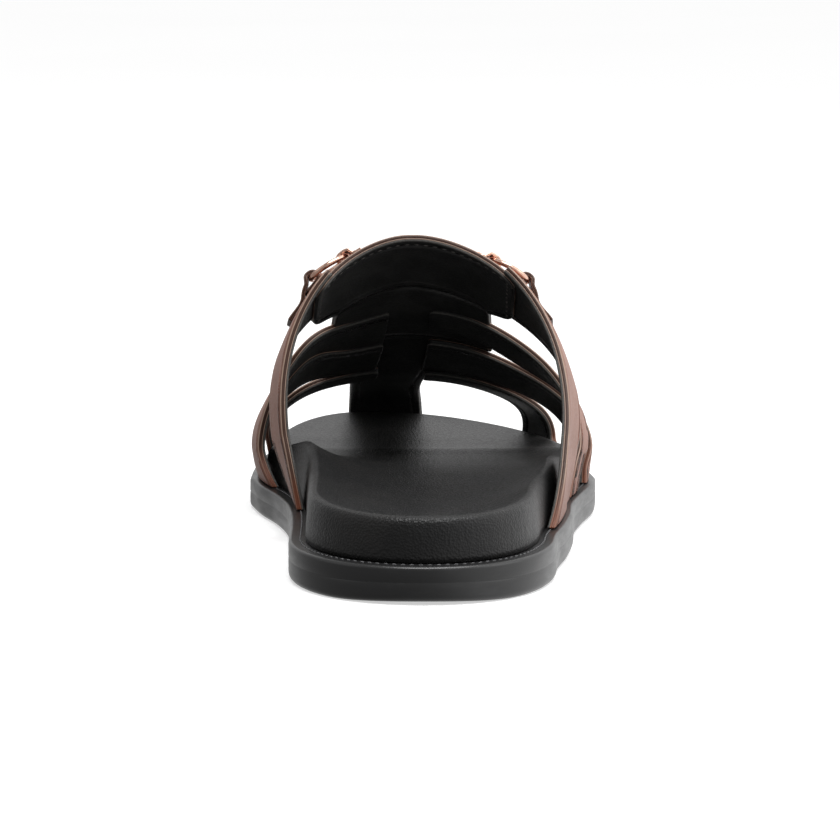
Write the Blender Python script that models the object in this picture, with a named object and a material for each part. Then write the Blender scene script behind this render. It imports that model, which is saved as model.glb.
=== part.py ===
"""Fisherman slide sandal, right shoe: outsole, contoured footbed, strapped upper and ring hardware.

The shoe stands on its sole. +X is the outer (lateral) side, +Y points to the toe and +Z up. Sizes are
in millimetres until a mesh is made, which scales them to metres.
"""
import math

import bmesh
import bpy
import numpy as np

MM = 0.001

# Driving sizes of the sole, in millimetres.
LENGTH = 257.0            # outsole, heel to toe
ORIGIN_ACROSS = -0.5      # middle of the shoe's box, which becomes the origin
HEEL_ROUND = 45.0         # length of the rounded back of the heel
HEEL_POWER = 2.1          # squareness of the heel's outline
TOE_START = 165.0         # where the toe's rounding begins, just past the ball
TOE_TIP_X = -14.0         # the toe tip lies to the big-toe side
TOE_POWER_MEDIAL = 2.5    # full big-toe side
TOE_POWER_LATERAL = 1.7   # slanting little-toe side
SOLE_EDGE = 1.8           # rounding of the sole's lower edge
TOP_EDGE = 1.0            # rounding of the sole's upper edge
LEDGE = 4.3               # margin of the sole outside the footbed
GAP = 0.3                 # clearance between pieces that meet
TOE_SPRING = 3.2          # lift of the toe tip
SPRING_START = 188.0      # where the lift begins
HEEL_BEVEL = 1.0          # lift of the sole's back edge
BEVEL_LENGTH = 14.0
OUTLINE_STEPS = 361       # points on each side of the outline before it is spaced evenly
SOLE_POINTS = 56          # points on each side of the outsole
SOLE_COLUMNS = 4          # faces across its flat faces

# Half widths of the outsole between the rounded ends.
SOLE_SIDES = {
    "along":   (30.0, 50.0, 70.0, 90.0, 110.0, 130.0, 150.0, 165.0),
    "medial":  (34.6, 34.8, 35.0, 35.7, 37.3, 40.9, 46.2, 49.0),
    "lateral": (32.8, 33.9, 37.0, 39.1, 40.2, 43.2, 46.9, 48.0),
}

# Height of the outsole's upper face above its tread, along the shoe.
SOLE_THICKNESS = {
    "along":  (0.0, 40.0, 90.0, 130.0, 257.0),
    "height": (9.6, 9.8, 9.6, 8.9, 8.6),
}

# Height of the footbed's upper face above the floor: along its middle and at both rims.
FOOTBED = {
    "along":   (0.0, 30.0, 60.0, 90.0, 115.0, 135.0, 152.0, 166.0, 180.0, 205.0, 230.0, 257.0),
    "middle":  (17.6, 16.4, 16.6, 17.6, 18.0, 17.3, 16.7, 16.7, 14.9, 14.9, 15.7, 16.6),
    "medial":  (20.8, 22.0, 22.6, 24.3, 25.3, 22.4, 18.6, 17.2, 15.8, 15.8, 16.2, 16.8),
    "lateral": (20.8, 21.9, 22.8, 22.7, 21.4, 19.2, 17.8, 17.0, 15.8, 15.8, 16.2, 16.8),
    "cup":     (2.4, 2.4, 2.4, 2.6, 3.0, 3.2, 3.6, 4.0, 4.0, 4.0, 4.0, 4.0),
}
FOOTBED_WALL = {          # rows of the footbed's side, from its foot to its rim
    "inset": (0.0, 0.3, 0.8, 1.6, 3.0),
    "rise":  (0.0, 0.42, 0.78, 0.95, 1.0),
}
FOOTBED_POINTS = 48       # points on each side of the footbed
SEAT_COLUMNS = 12         # faces across its upper face
SEAT_BLEND = 12.0         # length over which that face leaves the rim at heel and toe

# The last: sections across the foot, inside the upper. Heights and half widths of each section.
LAST = {
    "along":   (40.0, 70.0, 95.0, 120.0, 140.0, 155.0, 170.0, 190.0, 210.0, 235.0),
    "ridge":   (-1.6, -2.4, -3.0, -3.4, -4.0, -4.8, -6.2, -8.6, -10.2, -11.5),
    "top":     (74.0, 77.0, 78.2, 75.9, 62.8, 52.6, 43.8, 34.2, 29.5, 23.5),
    "bulge":   (33.0, 33.0, 30.0, 25.0, 20.0, 18.0, 16.5, 15.5, 14.6, 12.5),
    "medial":  (29.5, 29.6, 31.6, 37.0, 41.0, 43.6, 44.8, 44.8, 43.0, 37.0),
    "lateral": (29.5, 31.8, 32.9, 36.2, 39.2, 41.9, 44.2, 39.4, 33.2, 18.0),
    "power":   (2.10, 2.10, 2.00, 1.86, 1.76, 1.78, 1.86, 2.00, 2.10, 2.10),
}
SHOULDER_SHARE = 0.7      # share of a half section that lies above the bulge
FOOT_CURVE = 1.5          # how a section draws in from the bulge to the sole
PLACE_STEP = 0.004        # steps between points that give the last's direction
ALONG_STEP = 0.5

WALL = 2.2                # leather and lining together
LAYER = 1.1               # step between straps that lap each other

# Straps, from the centre down to the sole. A strap's edges are given as distances along the shoe at
# five places down the side, from the top of the foot over the shoulder and bulge to the sole.
STRAP_PLACES = (0.0, 0.18, 0.35, 0.7, 1.0)
STRAPS = (
    # name, side, root, layer, rear edge, front edge
    ("L1", -1, 0.27, 4.0, (119.0, 117.0, 113.0, 100.0, 93.0), (141.0, 139.0, 133.0, 115.0, 108.0)),
    ("L2", -1, 0.07, 2.0, (151.5, 152.0, 143.5, 147.0, 141.0), (174.0, 174.0, 169.0, 170.0, 161.0)),
    ("L3", -1, 0.07, 1.0, (168.0, 168.0, 155.0, 166.0, 171.0), (190.0, 188.0, 178.5, 186.5, 188.0)),
    ("L4", -1, 0.06, 0.0, (186.5, 186.0, 184.5, 201.0, 206.0), (198.0, 197.0, 196.0, 216.0, 221.0)),
    ("R1", 1, 0.27, 4.0, (119.0, 115.0, 110.0, 82.0, 59.0), (146.0, 143.0, 138.0, 121.0, 115.0)),
    ("R2", 1, 0.07, 2.0, (152.5, 150.0, 149.5, 139.0, 119.0), (164.0, 161.0, 169.0, 153.0, 134.0)),
    ("R3", 1, 0.07, 1.0, (168.0, 167.5, 170.5, 167.0, 150.0), (189.0, 188.0, 190.0, 186.0, 168.0)),
    ("R4", 1, 0.08, 0.0, (187.5, 187.5, 191.5, 202.0, 190.0), (196.0, 196.0, 206.0, 219.0, 212.0)),
)
SETTLE_START = 0.45       # below this share of its side a strap settles onto the last
STRAP_ROWS = 15
STRAP_COLUMNS = 4

# Centre panel: its collar edge and front edge at the middle, half way out and at its side edges.
PANEL_SIDES = (-0.34, 0.31)
PANEL_LAYER = 3.0
PANEL_PLACES = (0.0, 0.17, 0.34)
PANEL_COLLAR = (120.5, 119.0, 113.5)
PANEL_FRONT = (149.0, 147.0, 137.0)
PANEL_ROWS = 19
PANEL_COLUMNS = 6

# Tongue that carries the centre panel forwards, under the toe band.
TONGUE_SIDES = (-0.25, 0.235)
TONGUE_LAYER = 2.9
TONGUE_REAR = 139.0
TONGUE_FRONT = 169.0
TONGUE_ROWS = 15

# Toe band: its route seen from the side, its lean and its half width.
BAND = {
    "along":  (139.0, 150.0, 163.0, 178.0, 194.0, 210.0, 226.0, 238.0, 246.5, 251.2, 252.9, 252.9),
    "height": (69.7, 62.0, 53.0, 43.6, 35.4, 30.4, 26.8, 23.9, 20.4, 16.8, 13.8, 11.9),
    "centre": (-3.5, -4.3, -5.6, -7.5, -9.5, -11.0, -11.6, -11.8, -11.8, -11.8, -11.8, -11.8),
    "half":   (11.5, 11.9, 11.9, 11.4, 10.9, 10.4, 10.3, 10.3, 10.4, 10.5, 10.5, 10.5),
}
NOSE_START = 215.0        # where the band begins to follow the rounding of the toe
NOSE_LENGTH = 35.0
BAND_ROWS = 26
BAND_COLUMNS = 6

# Rings on the shoulders of the centre panel, held by a leather loop below and a metal keeper above.
RING_RADIUS = 5.6         # to the middle of the rod
RING_ROD = 0.75           # radius of the rod
RING_ALONG = 124.0        # where the rings are seated
RING_PLACES = {-1: 0.25, 1: 0.265}    # how far down each side they are seated
RING_HEIGHT = 7.95        # middle of a ring over the last
RING_TILT = 10.5          # degrees by which the loop lifts its lower end
RING_PITCH = 5.0          # degrees by which its front lies off the upper, which falls away there
RING_SLACK = 0.4          # room for the rod's own curve inside a holder
SEAT_REACH = 0.12         # share of a side in which a rod's seat is sought, and the places tried
SEAT_TRIES = 121
RING_TURNS = 32
ROD_FACETS = 10
HOLDERS = {
    "piece":     ("loop", "keeper"),
    "direction": (1, -1),         # below the ring, above the ring
    "layer":     (4.0, 3.0),      # layer of the upper that it lies on
    "wide":      (5.0, 4.0),
    "thick":     (1.1, 0.9),
    "tab":       (13.2, 4.6),     # reach of its long end from the rod
}
LOOP_TUCK = 4.2           # reach of the loop's short end, which the long end covers
LOOP_LAP = 2.2            # reach over which the long end comes down past it
KEEPER_FOOT = 1.5         # length of the keeper's short end, inside the ring
KEEPER_KNEE = 0.9         # bend between its ends and its arch
HOLDER_COLUMNS = 3
HOLDER_SETTLE = 2.5       # reach over which a holder's strip turns from the rod to the upper
BEND_STEP = 30            # degrees between the rows of a bend

LEATHER = ((0.235, 0.140, 0.112, 1.0), 0.42, 0.0)
BLACK_LEATHER = ((0.012, 0.012, 0.012, 1.0), 0.38, 0.0)
RUBBER = ((0.018, 0.018, 0.019, 1.0), 0.45, 0.0)
ROSE_GOLD = ((0.72, 0.43, 0.32, 1.0), 0.16, 1.0)


def clear_scene():
    """Removes every object, so that only the shoe is left."""
    for item in list(bpy.data.objects):
        bpy.data.objects.remove(item, do_unlink=True)


def through(places, values, at):
    """Smooth curve through (place, value) rows; level with its end values outside them."""
    x = np.asarray(places, float)
    y = np.asarray(values, float)
    at = np.clip(np.asarray(at, float), x[0], x[-1])
    step = np.diff(x)
    rise = np.diff(y) / step
    slope = np.zeros_like(y)
    slope[1:-1] = (rise[:-1] * step[1:] + rise[1:] * step[:-1]) / (step[1:] + step[:-1])
    slope[0] = rise[0]
    slope[-1] = rise[-1]
    i = np.clip(np.searchsorted(x, at, side="right") - 1, 0, len(step) - 1)
    t = (at - x[i]) / step[i]
    keep = (1 + 2 * t) * (1 - t) ** 2 * y[i] + t * t * (3 - 2 * t) * y[i + 1]
    return keep + step[i] * (t * (1 - t) ** 2 * slope[i] - t * t * (1 - t) * slope[i + 1])


def column(table, name, at):
    """Value of one column of a table at a distance along the shoe."""
    return through(table["along"], table[name], at)


def round_end(t, power):
    """Fraction of the full width left at a fraction t of a rounded end."""
    return (1.0 - np.clip(t, 0.0, 1.0) ** power) ** (1.0 / power)


def sole_edge_x(side, along):
    """Place across the shoe of the outsole's side wall."""
    name = "medial" if side < 0 else "lateral"
    power = TOE_POWER_MEDIAL if side < 0 else TOE_POWER_LATERAL
    along = np.asarray(along, float)
    middle = side * column(SOLE_SIDES, name, along)
    heel = middle * round_end((HEEL_ROUND - along) / HEEL_ROUND, HEEL_POWER)
    full = side * SOLE_SIDES[name][-1]
    reach = (along - TOE_START) / (LENGTH - TOE_START)
    toe = TOE_TIP_X + (full - TOE_TIP_X) * round_end(reach, power)
    return np.where(along < HEEL_ROUND, heel, np.where(along > TOE_START, toe, middle))


def sole_bottom(along):
    """Height of the tread: flat under heel and ball, lifted at the toe and at the back edge."""
    toe = np.clip((np.asarray(along, float) - SPRING_START) / (LENGTH - SPRING_START), 0.0, 1.0)
    heel = np.clip(1.0 - np.asarray(along, float) / BEVEL_LENGTH, 0.0, 1.0)
    return TOE_SPRING * toe ** 2 + HEEL_BEVEL * heel ** 2


def sole_top(along):
    """Height of the outsole's upper face."""
    toe = np.clip((np.asarray(along, float) - SPRING_START) / (LENGTH - SPRING_START), 0.0, 1.0)
    return column(SOLE_THICKNESS, "height", along) + TOE_SPRING * toe ** 2


def outline(inset, half_count):
    """Closed outline of the sole, moved inwards. Point i and point -i lie across from each other."""
    turn = np.linspace(0.0, math.pi, OUTLINE_STEPS)
    along = LENGTH * 0.5 * (1.0 - np.cos(turn))
    lateral = np.stack([sole_edge_x(1, along), along], 1)
    medial = np.stack([sole_edge_x(-1, along), along], 1)
    lateral[0, 0] = medial[0, 0] = 0.0
    fine = np.concatenate([lateral, medial[-2:0:-1]])
    ahead = np.roll(fine, -2, axis=0) - np.roll(fine, 2, axis=0)
    inward = np.stack([-ahead[:, 1], ahead[:, 0]], 1)
    inward /= np.linalg.norm(inward, axis=1)[:, None]
    moved = fine + inward * inset
    nearest = np.linalg.norm(moved[:, None] - fine[None], axis=2).min(axis=1)
    clear = nearest > inset - 0.02
    toe = len(lateral) - 1
    right = moved[:toe][clear[:toe]]
    left = moved[toe + 1:][clear[toe + 1:]]
    tip = 0.5 * (right[-1] + left[0])
    sides = []
    for part in (np.vstack([right, tip]), np.vstack([tip, left, right[0]])):
        run = np.concatenate([[0.0], np.cumsum(np.linalg.norm(np.diff(part, axis=0), axis=1))])
        even = np.linspace(0.0, run[-1], half_count + 1)
        sides.append(np.stack([np.interp(even, run, part[:, k]) for k in (0, 1)], 1))
    return np.vstack([sides[0], sides[1][1:-1]])


def last_point(along, place):
    """Point on the last. Place runs from -1, medial sole, over 0, the ridge, to 1, lateral sole."""
    side = -1 if place < 0 else 1
    ridge = float(column(LAST, "ridge", along))
    top = float(column(LAST, "top", along))
    bulge = float(column(LAST, "bulge", along))
    wide = side * float(column(LAST, "medial" if side < 0 else "lateral", along))
    down = abs(place)
    if down <= SHOULDER_SHARE:
        turn = down / SHOULDER_SHARE * math.pi / 2
        bend = 2 / float(column(LAST, "power", along))
        across = ridge + (wide - ridge) * math.sin(turn) ** bend
        height = bulge + (top - bulge) * max(math.cos(turn), 0.0) ** bend
        return np.array([across, along, height])
    fall = (down - SHOULDER_SHARE) / (1 - SHOULDER_SHARE)
    foot = float(sole_edge_x(side, along)) - side * (LEDGE - GAP)
    seat = float(sole_top(along)) + GAP
    return np.array([wide + (foot - wide) * fall ** FOOT_CURVE, along, bulge + (seat - bulge) * fall])


def last_normal(along, place):
    """Outward direction of the last's surface; at the sole it points straight out."""
    if abs(place) >= 1.0:
        return np.array([math.copysign(1.0, place), 0.0, 0.0])
    low = max(place - PLACE_STEP, -1.0)
    high = min(place + PLACE_STEP, 1.0)
    across = last_point(along, high) - last_point(along, low)
    forward = last_point(along + ALONG_STEP, place) - last_point(along - ALONG_STEP, place)
    normal = np.cross(across, forward)
    return normal / np.linalg.norm(normal)


def off_last(along, place, offset):
    """Point at a distance outside the last."""
    return last_point(along, place) + last_normal(along, place) * offset


def shell(grid_in, grid_out):
    """Closed mesh between two grids of points: inner face, outer face and four edges."""
    rows, columns = grid_in.shape[:2]
    points = np.concatenate([grid_in.reshape(-1, 3), grid_out.reshape(-1, 3)])
    size = rows * columns

    def inner(i, j):
        return i * columns + j

    def outer(i, j):
        return size + i * columns + j

    faces = []
    for i in range(rows - 1):
        for j in range(columns - 1):
            faces.append((inner(i, j), inner(i, j + 1), inner(i + 1, j + 1), inner(i + 1, j)))
            faces.append((outer(i, j), outer(i + 1, j), outer(i + 1, j + 1), outer(i, j + 1)))
    for i in range(rows - 1):
        last = columns - 1
        faces.append((inner(i, 0), inner(i + 1, 0), outer(i + 1, 0), outer(i, 0)))
        faces.append((inner(i, last), outer(i, last), outer(i + 1, last), inner(i + 1, last)))
    for j in range(columns - 1):
        last = rows - 1
        faces.append((inner(0, j), outer(0, j), outer(0, j + 1), inner(0, j + 1)))
        faces.append((inner(last, j), inner(last, j + 1), outer(last, j + 1), outer(last, j)))
    return points, faces


def add_object(name, points, faces, finish):
    """Object from points in millimetres, with its faces turned outwards and its own material."""
    mesh = bpy.data.meshes.new(name)
    middle = np.array([ORIGIN_ACROSS, LENGTH / 2, 0.0])
    mesh.from_pydata([tuple(float(c) * MM for c in p - middle) for p in points], [], faces)
    work = bmesh.new()
    work.from_mesh(mesh)
    bmesh.ops.recalc_face_normals(work, faces=work.faces)
    if work.calc_volume(signed=True) < 0.0:
        bmesh.ops.reverse_faces(work, faces=work.faces)
    work.to_mesh(mesh)
    work.free()
    mesh.shade_smooth()
    mesh.set_sharp_from_angle(angle=math.radians(40))
    item = bpy.data.objects.new(name, mesh)
    bpy.context.scene.collection.objects.link(item)
    colour, roughness, metallic = finish
    material = bpy.data.materials.new(name)
    material.use_nodes = True
    shader = material.node_tree.nodes["Principled BSDF"]
    shader.inputs["Base Color"].default_value = colour
    shader.inputs["Roughness"].default_value = roughness
    shader.inputs["Metallic"].default_value = metallic
    mesh.materials.append(material)
    return item


def stacked_loops(loops, caps):
    """Closed mesh from outline loops, bottom to top. A cap is (level, steps across, height function)."""
    count = len(loops[0])
    half = count // 2
    points = [np.asarray(p, float) for loop in loops for p in loop]
    faces = []
    for level in range(len(loops) - 1):
        base = level * count
        for i in range(count):
            after = (i + 1) % count
            faces.append((base + i, base + after, base + count + after, base + count + i))
    for level, steps, height in caps:
        base = level * count
        rungs = []
        for i in range(1, half):
            right, left = base + i, base + count - i
            rung = [right]
            for k in range(1, steps):
                share = k / steps
                place = points[right] * (1 - share) + points[left] * share
                place[2] = height(place[1], 1 - 2 * share, place[2])
                points.append(place)
                rung.append(len(points) - 1)
            rung.append(left)
            rungs.append(rung)
        for k in range(steps):
            faces.append((base, rungs[0][k], rungs[0][k + 1]))
            faces.append((rungs[-1][k], base + half, rungs[-1][k + 1]))
        for one, two in zip(rungs[:-1], rungs[1:]):
            for k in range(steps):
                faces.append((one[k], two[k], two[k + 1], one[k + 1]))
    return points, faces


def make_outsole():
    """Outsole: a slab with the sole's outline, toe spring, heel bevel and rounded edges."""

    def loop(inset, height, lift):
        return [(x, y, float(height(y)) + lift) for x, y in outline(inset, SOLE_POINTS)]

    def tread(along, share, edge):
        return float(sole_bottom(along))

    def deck(along, share, edge):
        return float(sole_top(along))

    loops = []
    for angle in (0.0, 45.0, 90.0):
        turn = math.radians(angle)
        loops.append(loop(SOLE_EDGE * (1 - math.sin(turn)), sole_bottom, SOLE_EDGE * (1 - math.cos(turn))))
    loops.append(loop(0.0, sole_top, -TOP_EDGE))
    loops.append(loop(TOP_EDGE, sole_top, 0.0))
    caps = ((0, SOLE_COLUMNS, tread), (len(loops) - 1, SOLE_COLUMNS, deck))
    points, faces = stacked_loops(loops, caps)
    return add_object("outsole", points, faces, RUBBER)


def rim_height(along, share):
    """Height of the footbed's upper face; share runs from 1, lateral rim, to -1, medial rim."""
    middle = float(column(FOOTBED, "middle", along))
    rim = float(column(FOOTBED, "lateral" if share > 0 else "medial", along))
    return middle + (rim - middle) * abs(share) ** float(column(FOOTBED, "cup", along))


def make_footbed():
    """Footbed: cupped heel, arch rise, bar under the toes and rounded rims on an upright wall."""
    crest = FOOTBED_WALL["inset"][-1]

    def side_of(x, along):
        centre = 0.5 * float(sole_edge_x(1, along) + sole_edge_x(-1, along))
        half = 0.5 * float(sole_edge_x(1, along) - sole_edge_x(-1, along)) - LEDGE - crest
        return float(np.clip((x - centre) / max(half, 1.0), -1.0, 1.0))

    def rim(x, along):
        share = side_of(x, along)
        lateral = float(column(FOOTBED, "lateral", along))
        medial = float(column(FOOTBED, "medial", along))
        return 0.5 * (lateral + medial) + 0.5 * (lateral - medial) * share

    loops = []
    for inset, rise in zip(FOOTBED_WALL["inset"], FOOTBED_WALL["rise"]):
        row = []
        for x, y in outline(LEDGE + inset, FOOTBED_POINTS):
            foot = float(sole_top(y)) + GAP
            row.append((x, y, foot + (rim(x, y) - foot) * rise))
        loops.append(row)

    def surface(along, share, edge):
        end = min(along - LEDGE - crest, LENGTH - LEDGE - crest - along)
        blend = min(max(end / SEAT_BLEND, 0.0), 1.0)
        blend = blend * blend * (3 - 2 * blend)
        return edge + (rim_height(along, share) - edge) * blend

    def underside(along, share, edge):
        return float(sole_top(along)) + GAP

    caps = ((0, SOLE_COLUMNS, underside), (len(loops) - 1, SEAT_COLUMNS, surface))
    points, faces = stacked_loops(loops, caps)
    return add_object("footbed", points, faces, BLACK_LEATHER)


def strap_grid(rear, front, edge_places, sides, layer, columns, taper):
    """Inner and outer grids of a strip on the last, from its root down its side."""
    inner = []
    outer = []
    for place in sides:
        back = float(through(edge_places, rear, abs(place)))
        ahead = float(through(edge_places, front, abs(place)))
        settle = max((abs(place) - SETTLE_START) / (1.0 - SETTLE_START), 0.0)
        offset = layer * (1.0 - taper * settle ** 2)
        route = np.linspace(back, ahead, columns)
        inner.append([off_last(along, place, offset) for along in route])
        outer.append([off_last(along, place, offset + WALL) for along in route])
    return np.array(inner), np.array(outer)


def band_point(along, height, centre, half, share):
    """Point of the toe band's inner face, at a share of its half width from its middle."""
    across = centre + half * share
    ridge = float(column(LAST, "ridge", along))
    side = "medial" if across < ridge else "lateral"
    reach = abs(across - ridge) / (float(column(LAST, side, along)) + abs(ridge))
    rise = float(column(LAST, "top", along) - column(LAST, "bulge", along))
    crown = rise * (1.0 - float(round_end(reach, float(column(LAST, "power", along)))))
    nose = min(max((along - NOSE_START) / NOSE_LENGTH, 0.0), 1.0)
    if across < TOE_TIP_X:
        power = TOE_POWER_MEDIAL
        wide = SOLE_SIDES["medial"][-1] + TOE_TIP_X
    else:
        power = TOE_POWER_LATERAL
        wide = SOLE_SIDES["lateral"][-1] - TOE_TIP_X
    back = (LENGTH - TOE_START) * (1.0 - float(round_end(abs(across - TOE_TIP_X) / wide, power)))
    return across, along - back * nose, height - crown * (1 - nose)


def band_grid():
    """Inner and outer grids of the toe band, which runs over the toes and down in front of them."""
    rows = range(len(BAND["along"]))
    steps = np.linspace(0.0, rows[-1], BAND_ROWS)
    route = zip(*(through(rows, BAND[name], steps) for name in ("along", "height", "centre", "half")))
    shares = np.linspace(-1.0, 1.0, BAND_COLUMNS)
    inner = np.array([[band_point(*row, share) for share in shares] for row in route])
    forward = np.gradient(inner, axis=0)
    across = np.gradient(inner, axis=1)
    normal = np.cross(across, forward)
    normal[-1, :, 2] = 0.0
    normal /= np.linalg.norm(normal, axis=2)[:, :, None]
    return inner, inner + normal * WALL


def make_upper():
    """Upper: centre panel, eight straps and toe band, joined into one hollow wall."""
    pieces = []
    for name, side, root, layer, rear, front in STRAPS:
        places = side * np.linspace(root, 1.0, STRAP_ROWS)
        grids = strap_grid(rear, front, STRAP_PLACES, places, layer * LAYER, STRAP_COLUMNS, 1.0)
        pieces.append((name, *shell(*grids)))
    sides = np.linspace(*TONGUE_SIDES, TONGUE_ROWS)
    rear = (TONGUE_REAR, TONGUE_REAR)
    front = (TONGUE_FRONT, TONGUE_FRONT)
    grids = strap_grid(rear, front, (0.0, 1.0), sides, TONGUE_LAYER * LAYER, STRAP_COLUMNS, 0.0)
    pieces.append(("tongue", *shell(*grids)))
    sides = np.linspace(*PANEL_SIDES, PANEL_ROWS)
    layer = PANEL_LAYER * LAYER
    grids = strap_grid(PANEL_COLLAR, PANEL_FRONT, PANEL_PLACES, sides, layer, PANEL_COLUMNS, 0.0)
    pieces.append(("panel", *shell(*grids)))
    pieces.append(("band", *shell(*band_grid())))
    objects = [add_object(name, points, faces, LEATHER) for name, points, faces in pieces]
    upper = objects[-2]
    upper.name = "upper"
    for cutter in objects[:-2] + objects[-1:]:
        cutter.hide_render = True
        cutter.display_type = "WIRE"
        joint = upper.modifiers.new(cutter.name, "BOOLEAN")
        joint.operation = "UNION"
        joint.solver = "EXACT"
        joint.object = cutter
    return upper


def ring_frame(side):
    """Centre of a ring and its directions: down the side of the shoe, forwards and outwards."""
    place = RING_PLACES[side]
    level = last_normal(RING_ALONG, side * place)
    step = last_point(RING_ALONG, side * (place + PLACE_STEP)) - last_point(RING_ALONG, side * place)
    slope = step - level * (step @ level)
    slope /= np.linalg.norm(slope)
    tilt = math.radians(RING_TILT)
    down = slope * math.cos(tilt) + level * math.sin(tilt)
    lifted = level * math.cos(tilt) - slope * math.sin(tilt)
    along = side * np.cross(lifted, down)
    pitch = math.radians(RING_PITCH)
    forwards = along * math.cos(pitch) + lifted * math.sin(pitch)
    outwards = lifted * math.cos(pitch) - along * math.sin(pitch)
    return off_last(RING_ALONG, side * place, RING_HEIGHT), down, forwards, outwards


def make_ring(name, side):
    """Round ring that lies on the shoulder of the centre panel."""
    centre, down, forwards, outwards = ring_frame(side)
    points = []
    for i in range(RING_TURNS):
        turn = 2 * math.pi * i / RING_TURNS
        ray = down * math.cos(turn) + forwards * math.sin(turn)
        for k in range(ROD_FACETS):
            roll = 2 * math.pi * k / ROD_FACETS
            middle = centre + ray * (RING_RADIUS + RING_ROD * math.cos(roll))
            points.append(middle + outwards * RING_ROD * math.sin(roll))
    faces = []
    for i in range(RING_TURNS):
        here = i * ROD_FACETS
        ahead = (i + 1) % RING_TURNS * ROD_FACETS
        for k in range(ROD_FACETS):
            after = (k + 1) % ROD_FACETS
            faces.append((here + k, ahead + k, ahead + after, here + after))
    return add_object("ring_" + name, points, faces, ROSE_GOLD)


def rod_seat(side, direction):
    """Place on the last below a ring's rod, the rod's height over it and its shift along the rod."""
    centre, down, forwards, _ = ring_frame(side)
    rod = centre + down * direction * (RING_RADIUS - RING_SLACK)
    best = None
    for share in np.linspace(0.0, SEAT_REACH, SEAT_TRIES):
        place = side * (RING_PLACES[side] + direction * share)
        reach = rod - last_point(RING_ALONG, place)
        height = float(reach @ last_normal(RING_ALONG, place))
        miss = rod - off_last(RING_ALONG, place, height)
        if best is None or np.linalg.norm(miss) < best[0]:
            best = (np.linalg.norm(miss), place, height, float(miss @ forwards))
    return best[1:]


def loop_route(bend, thick, tab, drop):
    """Middle line of the leather loop: under the rod, round it and back over its own short end."""
    route = [(LOOP_TUCK, -drop), (bend, -drop)]
    for turn in range(270, 29, -BEND_STEP):
        angle = math.radians(turn)
        low = drop if turn > 180 else bend
        route.append(((bend + RING_SLACK) * math.cos(angle), low * math.sin(angle)))
    fold = thick + GAP / 2 - drop
    shoulder = bend + RING_SLACK
    route.append((0.5 * (shoulder + LOOP_TUCK) - GAP, 0.5 * (GAP + fold)))
    route.append((LOOP_TUCK - GAP, fold))
    route.append((LOOP_TUCK + 0.5 * LOOP_LAP, 0.5 * (fold - drop)))
    route.append((LOOP_TUCK + LOOP_LAP, -drop))
    route.append((tab, -drop))
    return np.array(route)


def keeper_route(bend, tab, drop):
    """Middle line of the metal keeper: flat on the panel, over the rod and down inside the ring."""
    wide = bend + RING_SLACK
    arch = [(wide * math.cos(math.radians(turn)), bend * math.sin(math.radians(turn)))
            for turn in range(0, 181, BEND_STEP)]
    knee = 0.3 * KEEPER_KNEE
    start = [(tab, -drop), (wide + KEEPER_KNEE, -drop), (wide + knee, knee - drop)]
    end = [(-wide - knee, knee - drop), (-wide - KEEPER_KNEE, -drop), (-wide - KEEPER_FOOT, -drop)]
    return np.array(start + arch + end)


def make_holder(index, name, side):
    """Strip that bends round a ring's rod, with its ends on the upper."""
    direction = HOLDERS["direction"][index]
    thick = HOLDERS["thick"][index]
    tab = HOLDERS["tab"][index]
    place, height, offset = rod_seat(side, direction)
    drop = height - HOLDERS["layer"][index] * LAYER - WALL - GAP - thick / 2
    bend = RING_ROD + GAP + thick / 2
    if direction > 0:
        route = loop_route(bend, thick, tab, drop)
    else:
        route = keeper_route(bend, tab, drop)
    ahead = np.gradient(route, axis=0)
    ahead /= np.linalg.norm(ahead, axis=1)[:, None]
    sideways = np.stack([-ahead[:, 1], ahead[:, 0]], 1)
    step = off_last(RING_ALONG, place + PLACE_STEP, height) - off_last(RING_ALONG, place, height)
    pace = np.linalg.norm(step) / PLACE_STEP
    forwards = ring_frame(side)[2]
    half = HOLDERS["wide"][index] / 2
    grids = []
    for shift in (-thick / 2, thick / 2):
        grid = []
        for reach, lift in route + sideways * shift:
            there = place + side * direction * reach / pace
            point = off_last(RING_ALONG, there, height + lift)
            settled = min(max(reach / HOLDER_SETTLE, 0.0), 1.0)
            rung = []
            for along in np.linspace(offset - half, offset + half, HOLDER_COLUMNS):
                on_upper = off_last(RING_ALONG + along, there, height + lift)
                rung.append((point + forwards * along) * (1 - settled) + on_upper * settled)
            grid.append(rung)
        grids.append(np.array(grid))
    points, faces = shell(*grids)
    finish = LEATHER if direction > 0 else ROSE_GOLD
    return add_object(HOLDERS["piece"][index] + "_" + name, points, faces, finish)


def main():
    """Builds the shoe."""
    clear_scene()
    make_outsole()
    make_footbed()
    make_upper()
    for name, side in (("medial", -1), ("lateral", 1)):
        make_ring(name, side)
        for index in range(len(HOLDERS["piece"])):
            make_holder(index, name, side)


main()
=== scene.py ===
"""Looks of the fisherman slide sandal, a right shoe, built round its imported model.

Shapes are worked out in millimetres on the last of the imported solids: +X is the outer (lateral) side, +Y
points to the toe and +Z up. Distances along the shoe start at the back of the heel. Meshes are scaled to
metres and moved to the frame's origin when they are made.
"""
import math

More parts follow.
